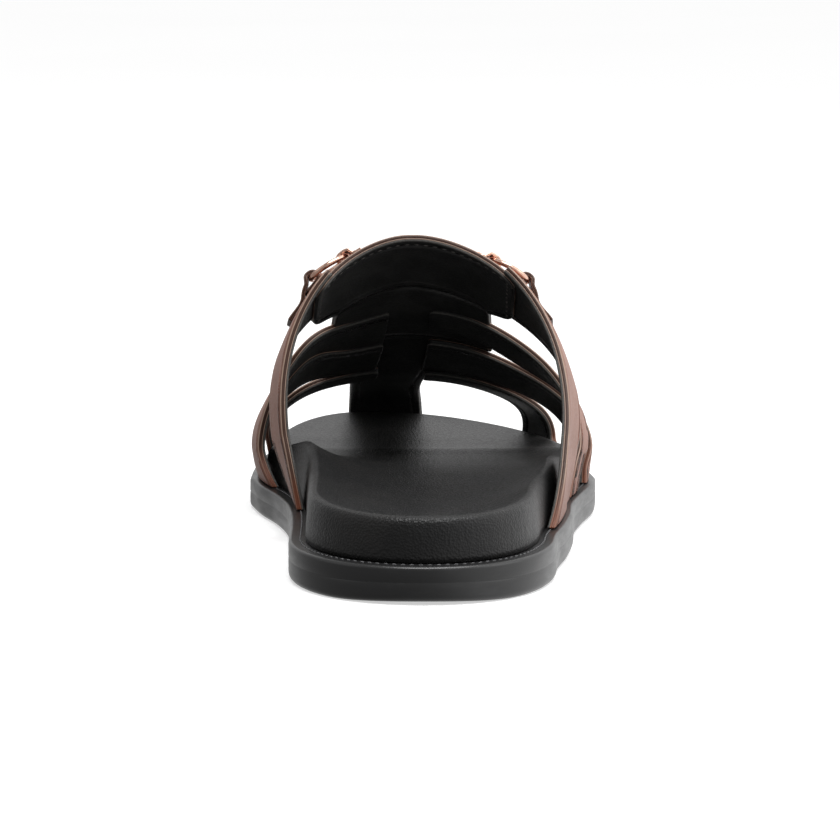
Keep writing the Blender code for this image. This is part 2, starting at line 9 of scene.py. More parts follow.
import bmesh
import bpy
import numpy as np
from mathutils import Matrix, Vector


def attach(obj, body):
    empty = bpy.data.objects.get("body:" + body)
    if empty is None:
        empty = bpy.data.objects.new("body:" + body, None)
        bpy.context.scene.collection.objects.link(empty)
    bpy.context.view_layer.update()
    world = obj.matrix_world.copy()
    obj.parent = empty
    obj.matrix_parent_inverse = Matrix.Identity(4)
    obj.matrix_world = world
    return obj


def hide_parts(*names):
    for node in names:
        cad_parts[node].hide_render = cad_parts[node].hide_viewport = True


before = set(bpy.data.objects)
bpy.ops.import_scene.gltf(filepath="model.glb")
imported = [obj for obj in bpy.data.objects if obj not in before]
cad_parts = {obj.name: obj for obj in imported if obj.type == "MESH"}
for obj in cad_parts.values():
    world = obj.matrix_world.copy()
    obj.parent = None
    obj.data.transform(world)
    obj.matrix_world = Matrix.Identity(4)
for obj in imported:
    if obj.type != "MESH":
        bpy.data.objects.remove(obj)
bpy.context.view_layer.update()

MM = 0.001

# Sole and last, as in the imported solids.
LENGTH = 257.0
ORIGIN_ACROSS = -0.5
HEEL_ROUND = 45.0
HEEL_POWER = 2.1
TOE_START = 165.0
TOE_TIP_X = -14.0
TOE_POWER_MEDIAL = 2.5
TOE_POWER_LATERAL = 1.7
LEDGE = 4.3
GAP = 0.3
TOE_SPRING = 3.2
SPRING_START = 188.0
HEEL_BEVEL = 1.0
BEVEL_LENGTH = 14.0
SOLE_SIDES = {
    "along":   (30.0, 50.0, 70.0, 90.0, 110.0, 130.0, 150.0, 165.0),
    "medial":  (34.6, 34.8, 35.0, 35.7, 37.3, 40.9, 46.2, 49.0),
    "lateral": (32.8, 33.9, 37.0, 39.1, 40.2, 43.2, 46.9, 48.0),
}
SOLE_THICKNESS = {
    "along":  (0.0, 40.0, 90.0, 130.0, 257.0),
    "height": (9.6, 9.8, 9.6, 8.9, 8.6),
}
FOOTBED = {
    "along":   (0.0, 30.0, 60.0, 90.0, 115.0, 135.0, 152.0, 166.0, 180.0, 205.0, 230.0, 257.0),
    "middle":  (17.6, 16.4, 16.6, 17.6, 18.0, 17.3, 16.7, 16.7, 14.9, 14.9, 15.7, 16.6),
    "medial":  (20.8, 22.0, 22.6, 24.3, 25.3, 22.4, 18.6, 17.2, 15.8, 15.8, 16.2, 16.8),
    "lateral": (20.8, 21.9, 22.8, 22.7, 21.4, 19.2, 17.8, 17.0, 15.8, 15.8, 16.2, 16.8),
    "cup":     (2.4, 2.4, 2.4, 2.6, 3.0, 3.2, 3.6, 4.0, 4.0, 4.0, 4.0, 4.0),
}
FOOTBED_WALL = {
    "inset": (0.0, 0.3, 0.8, 1.6, 3.0),
    "rise":  (0.0, 0.42, 0.78, 0.95, 1.0),
}
LAST = {
    "along":   (40.0, 70.0, 95.0, 120.0, 140.0, 155.0, 170.0, 190.0, 210.0, 235.0),
    "ridge":   (-1.6, -2.4, -3.0, -3.4, -4.0, -4.8, -6.2, -8.6, -10.2, -11.5),
    "top":     (74.0, 77.0, 78.2, 75.9, 62.8, 52.6, 43.8, 34.2, 29.5, 23.5),
    "bulge":   (33.0, 33.0, 30.0, 25.0, 20.0, 18.0, 16.5, 15.5, 14.6, 12.5),
    "medial":  (29.5, 29.6, 31.6, 37.0, 41.0, 43.6, 44.8, 44.8, 43.0, 37.0),
    "lateral": (29.5, 31.8, 32.9, 36.2, 39.2, 41.9, 44.2, 39.4, 33.2, 18.0),
    "power":   (2.10, 2.10, 2.00, 1.86, 1.76, 1.78, 1.86, 2.00, 2.10, 2.10),
}
SHOULDER_SHARE = 0.7
FOOT_CURVE = 1.5          # how a section draws in from the bulge to the sole
PLACE_STEP = 0.004        # steps between points that give the last's direction
ALONG_STEP = 0.5
LEVEL_START = 0.9         # place from which its normals turn level, and the reach of that turn
LEVEL_REACH = 0.1
OUTLINE_STEPS = 721       # points on each side of the sole's outline before it is spaced evenly
OUTLINE_SLIP = 0.02       # slack by which an inset outline may come too near

# Upper: straps, centre panel and toe band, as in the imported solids.
WALL = 2.2
LINING = 0.7              # its inner part
LAYER = 1.1
STRAP_PLACES = (0.0, 0.18, 0.35, 0.7, 1.0)
STRAPS = (
    # place of its hidden end and of its foot, layer, rear edge, front edge
    (-0.27, -1.0, 4.0, (119.0, 117.0, 113.0, 100.0, 93.0), (141.0, 139.0, 133.0, 115.0, 108.0)),
    (-0.07, -1.0, 2.0, (151.5, 152.0, 143.5, 147.0, 141.0), (174.0, 174.0, 169.0, 170.0, 161.0)),
    (-0.07, -1.0, 1.0, (168.0, 168.0, 155.0, 166.0, 171.0), (190.0, 188.0, 178.5, 186.5, 188.0)),
    (-0.06, -1.0, 0.0, (186.5, 186.0, 184.5, 201.0, 206.0), (198.0, 197.0, 196.0, 216.0, 221.0)),
    (0.27, 1.0, 4.0, (119.0, 115.0, 110.0, 82.0, 59.0), (146.0, 143.0, 138.0, 121.0, 115.0)),
    (0.07, 1.0, 2.0, (152.5, 150.0, 149.5, 139.0, 119.0), (164.0, 161.0, 169.0, 153.0, 134.0)),
    (0.07, 1.0, 1.0, (168.0, 167.5, 170.5, 167.0, 150.0), (189.0, 188.0, 190.0, 186.0, 168.0)),
    (0.08, 1.0, 0.0, (187.5, 187.5, 191.5, 202.0, 190.0), (196.0, 196.0, 206.0, 219.0, 212.0)),
)
SETTLE_START = 0.45
PANEL_SIDES = (-0.34, 0.31)
PANEL_LAYER = 3.0
PANEL_PLACES = (0.0, 0.17, 0.34)
PANEL_COLLAR = (120.5, 119.0, 113.5)
PANEL_FRONT = (149.0, 147.0, 137.0)
TONGUE_SIDES = (-0.25, 0.235)
TONGUE_LAYER = 2.9
TONGUE_EDGES = (139.0, 169.0)
BAND = {
    "along":  (139.0, 150.0, 163.0, 178.0, 194.0, 210.0, 226.0, 238.0, 246.5, 251.2, 252.9, 252.9),
    "height": (69.7, 62.0, 53.0, 43.6, 35.4, 30.4, 26.8, 23.9, 20.4, 16.8, 13.8, 11.9),
    "centre": (-3.5, -4.3, -5.6, -7.5, -9.5, -11.0, -11.6, -11.8, -11.8, -11.8, -11.8, -11.8),
    "half":   (11.5, 11.9, 11.9, 11.4, 10.9, 10.4, 10.3, 10.3, 10.4, 10.5, 10.5, 10.5),
}
NOSE_START = 215.0
NOSE_LENGTH = 35.0
BAND_STEP = 0.02          # steps between points that give the band's direction
BAND_SHARE_STEP = 0.01
STRAP_PATH = 500          # points of a strap's and the band's path before its rows are spaced
BAND_PATH = 800

# Cut edge of a strap, from its inner face round to its outer face: distance in from the edge and depth
# from the inner face. Two fine grooves part the lining, its bead and the leather, and a crease runs
# beside the edge.
EDGE = {
    "inset": (3.2, 1.5, 0.75, 0.34, 0.12, 0.02, 0.00, 0.05, 0.15, 0.03, 0.00, 0.04, 0.12, 0.03, 0.00, 0.00,
              0.05, 0.17, 0.34, 0.50, 0.64, 0.78, 0.92, 1.08, 1.40, 3.20),
    "depth": (0.00, 0.00, 0.00, 0.05, 0.18, 0.40, 0.58, 0.66, 0.74, 0.81, 0.90, 0.99, 1.06, 1.13, 1.30, 1.52,
              1.74, 1.93, 2.06, 2.11, 2.07, 2.00, 2.05, 2.15, 2.20, 2.20),
}
FACE_COLUMNS = 12         # columns of each broad face between its two edges
FOLD_SHARE = 0.4          # most of a strip's width that one edge may take up
FAR_IN = 9.0              # stands for the distance to an edge on a broad face
END_RADIUS = 0.45         # rounding of a strip's cut ends
ROUND_STEPS = 5           # rows of a rounded edge or end
STRAP_CORNER = 1.2        # corner radius of a strap's hidden end
PANEL_CORNER = 4.0
BAND_CORNER = 2.0
TONGUE_CORNER = 1.5
STRAP_ROWS = 100
PANEL_ROWS = 130
TONGUE_ROWS = 70
BAND_ROWS = 150

# Places of the rings and what holds them.
RING_RADIUS = 5.6
RING_ROD = 0.75
RING_ALONG = 124.0
RING_PLACES = {-1: 0.25, 1: 0.265}
RING_HEIGHT = 7.95
RING_TILT = 10.5
RING_PITCH = 5.0
RING_SLACK = 0.4
SEAT_REACH = 0.12
SEAT_TRIES = 121
HOLDERS = {
    "kind":      ("loop", "keeper"),
    "direction": (1, -1),
    "layer":     (4.0, 3.0),
    "wide":      (5.0, 4.0),
    "thick":     (1.1, 0.9),
    "tab":       (13.2, 4.6),
}
LOOP_TUCK = 4.2
LOOP_LAP = 2.2
KEEPER_FOOT = 1.5
KEEPER_KNEE = 0.9         # length of its bend beside the rod, and the share of it that rises
KEEPER_RISE = 0.3
HOLDER_SETTLE = 2.5
BEND_STEP = 30
RING_TURNS = 96
ROD_TURNS = 20
HOLDER_ROWS = 70
HOLDER_CORNER = 0.32      # rounding of a holder's long edges
HOLDER_END = 0.2          # rounding of its ends, and the least half size that it leaves
HOLDER_LEAST = 0.02
HOLDER_FLAT = 0.8         # share of its width that its even rows span, and their number
HOLDER_COLUMNS = 7
HOLDER_RIM = 0.2          # a loop's faces within this of its surfaces are finished as the upper's face
HOLDER_CORE = 1.35        # depth whose finish the rest of its cut edge takes
HOLDER_INSET = 0.35       # added to its insets, which thins the dark border

# Stitches.
UPPER_STITCH = (2.5, 1.6, 0.26)           # pitch, length and radius
LEDGE_STITCH = (2.2, 1.3, 0.2)
STITCH_IN = 2.0           # distance of a row of stitches from the collar
PANEL_STITCH_IN = 0.017   # the same from the panel's sides, as a share of the way down
COLLAR_PATH = 300         # points of the collar's path, those left off at each end, and of a side's path
COLLAR_ENDS = 12
SIDE_PATH = 60
LEDGE_STITCH_OUT = 1.3    # distance of the sole's row of stitches from the footbed
LEDGE_STITCH_LIFT = 0.06  # lift of their middle lines off the ledge
STITCH_ROWS = 6
STITCH_SIDES = 8
STITCH_TAPER = 0.85       # share of its radius by which a stitch thins, and sinks, at its ends
STITCH_SINK = 0.9
STITCH_WIDE = 1.15        # its section across and off the surface, as shares of its radius
STITCH_HIGH = 0.8


def through(places, values, at):
    """Smooth curve through (place, value) rows; level with its end values outside them."""
    x = np.asarray(places, float)
    y = np.asarray(values, float)
    at = np.clip(np.asarray(at, float), x[0], x[-1])
    step = np.diff(x)
    rise = np.diff(y) / step
    slope = np.zeros_like(y)
    slope[1:-1] = (rise[:-1] * step[1:] + rise[1:] * step[:-1]) / (step[1:] + step[:-1])
    slope[0] = rise[0]
    slope[-1] = rise[-1]
    i = np.clip(np.searchsorted(x, at, side="right") - 1, 0, len(step) - 1)
    t = (at - x[i]) / step[i]
    keep = (1 + 2 * t) * (1 - t) ** 2 * y[i] + t * t * (3 - 2 * t) * y[i + 1]
    return keep + step[i] * (t * (1 - t) ** 2 * slope[i] - t * t * (1 - t) * slope[i + 1])


def column(table, name, at):
    """Value of one column of a table at a distance along the shoe."""
    return through(table["along"], table[name], at)


def columns(table, at):
    """Values of all of a table's columns after its first, at a distance along the shoe."""
    return [column(table, name, at) for name in list(table)[1:]]


def ease(t):
    """Smooth step from 0 to 1."""
    t = np.clip(t, 0.0, 1.0)
    return t * t * (3 - 2 * t)


def unit(vectors):
    """Vectors of length one."""
    return vectors / np.maximum(np.linalg.norm(vectors, axis=-1, keepdims=True), 1e-12)


def distances(path):
    """Distance along a path at each of its points."""
    return np.concatenate([[0.0], np.cumsum(np.linalg.norm(np.diff(path, axis=0), axis=1))])


def path_at(path, run, at):
    """Points of a path at distances along it."""
    return np.stack([np.interp(at, run, values) for values in path.T], -1)


def round_end(t, power):
    """Fraction of the full width left at a fraction t of a rounded end."""
    return (1.0 - np.clip(t, 0.0, 1.0) ** power) ** (1.0 / power)


def sole_edge_x(side, along):
    """Place across the shoe of the outsole's side wall."""
    name = "medial" if side < 0 else "lateral"
    power = TOE_POWER_MEDIAL if side < 0 else TOE_POWER_LATERAL
    middle = side * column(SOLE_SIDES, name, along)
    heel = middle * round_end((HEEL_ROUND - along) / HEEL_ROUND, HEEL_POWER)
    full = side * SOLE_SIDES[name][-1]
    reach = (along - TOE_START) / (LENGTH - TOE_START)
    toe = TOE_TIP_X + (full - TOE_TIP_X) * round_end(reach, power)
    return np.where(along < HEEL_ROUND, heel, np.where(along > TOE_START, toe, middle))


def toe_lift(along):
    """Lift of the sole by its toe spring."""
    return TOE_SPRING * np.clip((along - SPRING_START) / (LENGTH - SPRING_START), 0.0, 1.0) ** 2


def sole_bottom(along):
    """Height of the tread: flat under heel and ball, lifted at the toe and at the back edge."""
    return toe_lift(along) + HEEL_BEVEL * np.clip(1.0 - along / BEVEL_LENGTH, 0.0, 1.0) ** 2


def sole_top(along):
    """Height of the outsole's upper face."""
    return column(SOLE_THICKNESS, "height", along) + toe_lift(along)


def last_point(along, place):
    """Points on the last. Place runs from -1, medial sole, over 0, the ridge, to 1, lateral sole."""
    along, place = np.broadcast_arrays(np.asarray(along, float), np.asarray(place, float))
    side = np.where(place < 0, -1.0, 1.0)
    ridge, top, bulge, medial, lateral, power = columns(LAST, along)
    wide = np.where(side < 0, -medial, lateral)
    down = np.abs(place)
    turn = np.clip(down / SHOULDER_SHARE, 0.0, 1.0) * math.pi / 2
    bend = 2 / power
    over_x = ridge + (wide - ridge) * np.sin(turn) ** bend
    over_z = bulge + (top - bulge) * np.maximum(np.cos(turn), 0.0) ** bend
    fall = np.clip((down - SHOULDER_SHARE) / (1 - SHOULDER_SHARE), 0.0, 1.0)
    edge = np.where(side < 0, sole_edge_x(-1, along), sole_edge_x(1, along))
    foot = edge - side * (LEDGE - GAP)
    low_x = wide + (foot - wide) * fall ** FOOT_CURVE
    low_z = bulge + (sole_top(along) + GAP - bulge) * fall
    above = down <= SHOULDER_SHARE
    return np.stack([np.where(above, over_x, low_x), along, np.where(above, over_z, low_z)], -1)


def last_normal(along, place):
    """Outward directions of the last's surface; at the sole they turn straight out."""
    along, place = np.broadcast_arrays(np.asarray(along, float), np.asarray(place, float))
    low = np.maximum(place - PLACE_STEP, -1.0)
    high = np.minimum(place + PLACE_STEP, 1.0)
    across = last_point(along, high) - last_point(along, low)
    forward = last_point(along + ALONG_STEP, place) - last_point(along - ALONG_STEP, place)
    normal = unit(np.cross(across, forward))
    level = np.stack([np.sign(place), np.zeros_like(place), np.zeros_like(place)], -1)
    share = ease((np.abs(place) - LEVEL_START) / LEVEL_REACH)[..., None]
    return unit(normal * (1 - share) + level * share)


def off_last(along, place, offset):
    """Points at a distance outside the last."""
    return last_point(along, place) + last_normal(along, place) * np.asarray(offset)[..., None]


def outline(inset, half_count):
    """Closed outline of the sole, moved inwards. Point i and point -i lie across from each other."""
    turn = np.linspace(0.0, math.pi, OUTLINE_STEPS)
    along = LENGTH * 0.5 * (1.0 - np.cos(turn))
    lateral = np.stack([sole_edge_x(1, along), along], 1)
    medial = np.stack([sole_edge_x(-1, along), along], 1)
    lateral[0, 0] = medial[0, 0] = 0.0
    fine = np.concatenate([lateral, medial[-2:0:-1]])
    ahead = np.roll(fine, -2, axis=0) - np.roll(fine, 2, axis=0)
    inward = unit(np.stack([-ahead[:, 1], ahead[:, 0]], 1))
    moved = fine + inward * inset
    nearest = np.linalg.norm(moved[:, None] - fine[None], axis=2).min(axis=1)
    clear = nearest > inset - OUTLINE_SLIP
    toe = len(lateral) - 1
    right = moved[:toe][clear[:toe]]
    left = moved[toe + 1:][clear[toe + 1:]]
    tip = 0.5 * (right[-1] + left[0])
    sides = []
    for part in (np.vstack([right, tip]), np.vstack([tip, left, right[0]])):
        run = distances(part)
        sides.append(path_at(part, run, np.linspace(0.0, run[-1], half_count + 1)))
    return np.vstack([sides[0], sides[1][1:-1]])


def add_object(name, data):
    """New object in the scene."""
    item = bpy.data.objects.new(name, data)
    bpy.context.scene.collection.objects.link(item)
    return item


def add_piece(name, points, faces, materials, slot, kinds=None, marks=None):
    """Piece of the shoe from points in millimetres, with its faces' kinds of material and vertex marks."""
    mesh = bpy.data.meshes.new(name)
    middle = np.array([ORIGIN_ACROSS, LENGTH / 2, 0.0])
    mesh.from_pydata((np.asarray(points) - middle) * MM, [], [tuple(int(i) for i in f) for f in faces])
    for material in materials:
        mesh.materials.append(material)
    if kinds is not None:
        mesh.polygons.foreach_set("material_index", np.asarray(kinds, np.int32))
    for mark, values in (marks or {}).items():
        layer = mesh.attributes.new(mark, "FLOAT", "POINT")
        layer.data.foreach_set("value", np.asarray(values, np.float32))
    work = bmesh.new()
    work.from_mesh(mesh)
    bmesh.ops.recalc_face_normals(work, faces=work.faces)
    work.to_mesh(mesh)
    work.free()
    mesh.shade_smooth()
    mesh.update()
    item = add_object(name, mesh)
    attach(item, "root")
    return item


def ring_faces(rows, ring, closed=False):
    """Faces between rows of closed rings of points."""
    i, k = np.meshgrid(np.arange(rows if closed else rows - 1), np.arange(ring), indexing="ij")
    here = i * ring
    ahead = (i + 1) % rows * ring
    after = (k + 1) % ring
    return np.stack([here + k, here + after, ahead + after, ahead + k], -1).reshape(-1, 4)


def strip_faces(rows, ring):
    """Faces of a strip with flat ends; point k of its profile lies across from point -1 - k."""
    faces = list(ring_faces(rows, ring))
    for first in (0, (rows - 1) * ring):
        for k in range(ring // 2 - 1):
            faces.append((first + k, first + k + 1, first + ring - 2 - k, first + ring - 1 - k))
    return faces


def gathered(grids, own_faces):
    """Points and faces of many forms as one mesh. Own_faces gives a form's faces from its grid's size."""
    points, faces, count = [], [], 0
    for grid in grids:
        faces += [[count + i for i in face] for face in own_faces(*grid.shape[:2])]
        points.append(grid.reshape(-1, 3))
        count += len(points[-1])
    return np.concatenate(points), faces


def strip_profile():
    """Half a turn round a strip's rear edge, then its broad faces and front edge: share of its width,
    shift in from that edge and depth. It starts in the middle of the rear edge's side of the inner face."""
    inset = np.array(EDGE["inset"])
    depth = np.array(EDGE["depth"])
    share = np.linspace(0.0, 1.0, FACE_COLUMNS + 2)[1:-1]
    none = np.zeros(FACE_COLUMNS)
    edge = np.zeros(len(inset))
    outer = [np.stack([edge, inset, depth], 1), np.stack([share, none, none + WALL], 1)]
    inner = [np.stack([edge + 1, -inset[::-1], depth[::-1]], 1), np.stack([share[::-1], none, none], 1)]
    return np.concatenate(outer + inner)


def end_rows(length, count, radius):
    """Distances along a strip, with rows that round its cut ends, and how far each of them shrinks."""
    turn = np.linspace(0.0, math.pi / 2, ROUND_STEPS)
    start = radius * (1 - np.cos(turn))
    pinch = radius * (1 - np.sin(turn))
    inner = radius + (length - 2 * radius) * 0.5 * (1 - np.cos(np.linspace(0.0, math.pi, count)))[1:-1]
    even = np.linspace(radius, length - radius, count)[1:-1]
    middle = 0.5 * (inner + even)
    run = np.concatenate([start, middle, (length - start)[::-1]])
    shrink = np.concatenate([pinch, np.zeros(len(middle)), pinch[::-1]])
    return run, shrink


def spaced(fine, path, count):
    """Rows along a path, how far each of them shrinks and the path's own values there."""
    run = distances(path)
    rows, shrink = end_rows(run[-1], count, END_RADIUS)
    return rows, shrink, np.interp(rows, run, fine)


def corner_bite(distance, radius):
    """How far a rounded corner cuts in from the edge, at a distance from the strip's end."""
    short = np.clip(radius - distance, 0.0, radius)
    return radius - np.sqrt(np.maximum(radius ** 2 - short ** 2, 0.0))


def lay_strip(surface, edges, rows, shrink, corners):
    """Strip between two edges on a surface. Surface turns along, row and offset into points."""
    back, ahead = edges
    profile = strip_profile()
    share, shift, depth = (profile[:, k][None] for k in range(3))
    ends = (rows - rows[0], rows[-1] - rows)
    bite = sum(corner_bite(distance, radius) for distance, radius in zip(ends, corners)) + shrink
    paces = []
    for edge in (back, ahead):
        tangent = unit(np.gradient(surface(edge[:, None], 0.0)[:, 0], axis=0))
        beyond, before = (surface(edge[:, None] + step, 0.0) for step in (ALONG_STEP, -ALONG_STEP))
        forward = (beyond - before)[:, 0]
        square = forward - tangent * (forward * tangent).sum(axis=1, keepdims=True)
        paces.append(np.linalg.norm(square, axis=1)[:, None])
    least = max(EDGE["inset"]) / (FOLD_SHARE * (ahead - back))[:, None]
    pace = np.maximum(paces[0] * (1 - share) + paces[1] * share, least)
    across = back[:, None] * (1 - share) + ahead[:, None] * share
    across = across + (shift + bite[:, None] * (1 - 2 * share)) / pace
    thin = np.clip(depth, shrink[:, None], WALL - shrink[:, None])
    grid = surface(across, thin)
    inset = np.where(shift == 0.0, np.where((share > 0) & (share < 1), FAR_IN, 0.0), np.abs(shift))
    for distance, radius in zip(ends, corners):
        if radius > 0:
            inset = np.minimum(inset, np.maximum(distance - shrink, 0.0)[:, None])
    return grid, np.broadcast_to(inset, across.shape), np.broadcast_to(depth, across.shape)


def strip_on_last(rear, front, edge_places, sides, layer, count, taper, corners):
    """Strip on the last, from edges given at places down the side."""
    fine = np.linspace(*sides, STRAP_PATH)
    middle = 0.5 * (through(edge_places, rear, np.abs(fine)) + through(edge_places, front, np.abs(fine)))
    path = off_last(middle, fine, np.full(fine.shape, layer))
    rows, shrink, place = spaced(fine, path, count)
    settle = np.clip((np.abs(place) - SETTLE_START) / (1.0 - SETTLE_START), 0.0, 1.0)
    offset = (layer * (1.0 - taper * settle ** 2))[:, None]
    edges = [through(edge_places, edge, np.abs(place)) for edge in (rear, front)]

    def surface(along, lift):
        return off_last(along, place[:, None], offset + lift)

    return lay_strip(surface, edges, rows, shrink, corners)


def band_point(step, share):
    """Points of the toe band's inner face: step along its rows, share of its half width."""
    rows = range(len(BAND["along"]))
    along, height, centre, half = (through(rows, BAND[name], step) for name in BAND)
    across = centre + half * share
    ridge, top, bulge, medial, lateral, power = columns(LAST, along)
    reach = np.abs(across - ridge) / (np.where(across < ridge, medial, lateral) + np.abs(ridge))
    crown = (top - bulge) * (1.0 - round_end(reach, power))
    nose = np.clip((along - NOSE_START) / NOSE_LENGTH, 0.0, 1.0)
    inner = across < TOE_TIP_X
    corner = np.where(inner, TOE_POWER_MEDIAL, TOE_POWER_LATERAL)
    wide = np.where(inner, SOLE_SIDES["medial"][-1] + TOE_TIP_X, SOLE_SIDES["lateral"][-1] - TOE_TIP_X)
    back = (LENGTH - TOE_START) * (1.0 - round_end(np.abs(across - TOE_TIP_X) / wide, corner))
    return np.stack([across, along - back * nose, height - crown * (1 - nose)], -1)


def toe_band():
    """Toe band as a strip over the toes and down in front of them."""
    last = len(BAND["along"]) - 1.0
    fine = np.linspace(0.0, last, BAND_PATH)
    rows, shrink, step = spaced(fine, band_point(fine, 0.0 * fine), BAND_ROWS)
    step = step[:, None]

    def surface(share, lift):
        middle = band_point(step, share)
        before, beyond = np.maximum(step - BAND_STEP, 0.0), np.minimum(step + BAND_STEP, last)
        forward = band_point(beyond, share) - band_point(before, share)
        sideways = band_point(step, share + BAND_SHARE_STEP) - band_point(step, share - BAND_SHARE_STEP)
        normal = unit(np.cross(sideways, forward))
        level = normal * np.array([1.0, 1.0, 0.0])
        turn = ease(step - (last - 1.0))[..., None]
        return middle + unit(normal * (1 - turn) + unit(level) * turn) * np.asarray(lift)[..., None]

    edges = (np.full(len(rows), -1.0), np.full(len(rows), 1.0))
    return lay_strip(surface, edges, rows, shrink, (BAND_CORNER, 0.0))


def stacked_loops(loops, caps):
    """Closed mesh from outline loops, bottom to top. A cap is its loop, its steps across and a function
    for its height that takes x, along, share across and the height between its rims."""
    count = len(loops[0])
    half = count // 2
    points = [np.concatenate(loops)]
    faces = list(ring_faces(len(loops), count))
    size = len(points[0])
    for level, steps, height in caps:
        loop = loops[level]
        right = loop[1:half][:, None]
        left = loop[:half:-1][:, None]
        share = np.linspace(0.0, 1.0, steps + 1)[None, 1:-1, None]
        rungs = right * (1 - share) + left * share
        rungs[..., 2] = height(rungs[..., 0], rungs[..., 1], 1 - 2 * share[..., 0], rungs[..., 2])
        points.append(rungs.reshape(-1, 3))
        base = level * count
        index = np.concatenate([
            base + np.arange(1, half)[:, None],
            size + np.arange((half - 1) * (steps - 1)).reshape(half - 1, steps - 1),
            base + count - np.arange(1, half)[:, None]], axis=1)
        size += (half - 1) * (steps - 1)
        corners = (index[:-1, :-1], index[1:, :-1], index[1:, 1:], index[:-1, 1:])
        faces += list(np.stack(corners, -1).reshape(-1, 4))
        faces += [(base, index[0, k], index[0, k + 1]) for k in range(steps)]
        faces += [(index[-1, k], base + half, index[-1, k + 1]) for k in range(steps)]
    return np.concatenate(points), faces


# Materials. Lengths are in millimetres of the shoe; each reads its own noises through object coordinates.

MIX_FIRST, MIX_SECOND, MIX_RESULT = 6, 7, 2       # a Mix node's colour sockets


def add_node(tree, kind, links=None, **settings):
    """New node. Links are its inputs by name or number: sockets of other nodes, or values."""
    node = tree.nodes.new(kind)
    for name, value in settings.items():
        setattr(node, name, value)
    for name, value in (links or {}).items():
        if isinstance(value, bpy.types.NodeSocket):
            tree.links.new(value, node.inputs[name])
        else:
            node.inputs[name].default_value = value
    return node


class Finish:
    """Principled material whose nodes are added one at a time."""

    def __init__(self, name, colour, roughness, **sockets):
        self.material = bpy.data.materials.new(name)
        self.material.use_nodes = True
        self.material.diffuse_color = (*colour, 1.0)
        self.tree = self.material.node_tree
        self.shader = self.tree.nodes["Principled BSDF"]
        self.shader.inputs["Base Color"].default_value = (*colour, 1.0)
        self.shader.inputs["Roughness"].default_value = roughness
        for socket, value in sockets.items():
            self.shader.inputs[socket.replace("_", " ")].default_value = value
        place = self.node("ShaderNodeTexCoord").outputs["Object"]
        scaled = self.node("ShaderNodeVectorMath", {0: place, "Scale": 1 / MM}, operation="SCALE")
        self.place = scaled.outputs["Vector"]

    def node(self, kind, links=None, **settings):
        """New node of this material."""
        return add_node(self.tree, kind, links, **settings)

    def stretched(self, *by):
        """Coordinates stretched along each direction, for marks longer one way."""
        return self.node("ShaderNodeVectorMath", {0: self.place, 1: by}, operation="DIVIDE").outputs["Vector"]

    def noise(self, size, detail=2.0, rough=0.5, place=None):
        """Noise with spots of about that size in millimetres, from 0 to 1."""
        links = {"Vector": place or self.place, "Scale": 1.0 / size, "Detail": detail, "Roughness": rough}
        return self.node("ShaderNodeTexNoise", links).outputs["Fac"]

    def cells(self, size):
        """Pebbles of leather grain: distance to the nearest cell's middle."""
        links = {"Vector": self.place, "Scale": 1.0 / size}
        return self.node("ShaderNodeTexVoronoi", links).outputs["Distance"]

    def mark(self, name):
        """A value that the mesh carries at each point."""
        return self.node("ShaderNodeAttribute", attribute_name=name).outputs["Fac"]

    def maths(self, operation, first, second):
        """Arithmetic on two values."""
        return self.node("ShaderNodeMath", {0: first, 1: second}, operation=operation).outputs[0]

    def times(self, first, second):
        """Product of two values."""
        return self.maths("MULTIPLY", first, second)

    def spread(self, value, low, high, to_low=0.0, to_high=1.0):
        """Maps a range of values smoothly to another, held at its ends."""
        links = {"Value": value, "From Min": low, "From Max": high, "To Min": to_low, "To Max": to_high}
        return self.node("ShaderNodeMapRange", links, interpolation_type="SMOOTHSTEP").outputs["Result"]

    def window(self, value, low, high, soft):
        """1 between two values and 0 outside them, with soft edges."""
        rise = self.spread(value, low - soft, low + soft)
        fall = self.spread(value, high - soft, high + soft, 1.0, 0.0)
        return self.times(rise, fall)

    def blend(self, factor, first, second):
        """Mix of two colours."""
        first, second = (value if isinstance(value, bpy.types.NodeSocket) else (*value, 1.0)
                         for value in (first, second))
        links = {0: factor, MIX_FIRST: first, MIX_SECOND: second}
        return self.node("ShaderNodeMix", links, data_type="RGBA").outputs[MIX_RESULT]

    def relief(self, *layers):
        """Relief of (height, depth) layers: height from 0 to 1 stands for that depth in millimetres."""
        links = {"Strength": 1.0}
        for height, depth in layers:
            links |= {"Height": height, "Distance": depth * MM}
            links["Normal"] = self.node("ShaderNodeBump", links).outputs["Normal"]
        return links["Normal"]

    def use(self, colour, rough=None, relief=None):
        """Links the shader's colour, roughness and relief, and gives the material."""
        for name, value in (("Base Color", colour), ("Roughness", rough), ("Normal", relief)):
            if value:
                self.tree.links.new(value, self.shader.inputs[name])
        return self.material


ROSE_BROWN = (0.260, 0.120, 0.084)
ROSE_PALE = (0.305, 0.150, 0.108)
EDGE_BROWN = (0.046, 0.020, 0.012)
# painted highlight colour for the lit corners and ridge of the cut edges
EDGE_HIGHLIGHT = (0.420, 0.300, 0.235)
CREASE_BROWN = (0.022, 0.010, 0.007)
FOOT_RED = (0.170, 0.050, 0.022)
LINING_BLACK = (0.019, 0.019, 0.0185)
BLACK = (0.0090, 0.0090, 0.0092)
RUBBER_BLACK = (0.014, 0.014, 0.0145)
RUBBER_DUSTY = (0.075, 0.076, 0.078)
ROSE_GOLD = (0.86, 0.56, 0.44)
LINING_PALE = (0.030, 0.030, 0.029)
LINING_CUT = (0.11, 0.105, 0.095)
BLACK_PALE = (0.0135, 0.013, 0.0128)
GOLD_WORN = (0.62, 0.34, 0.25)
THREAD_DARK = (0.065, 0.060, 0.056)
THREAD_GREY = (0.06, 0.06, 0.062)
THREAD_TWIST = 2.2        # how much paler a thread's lit strands are
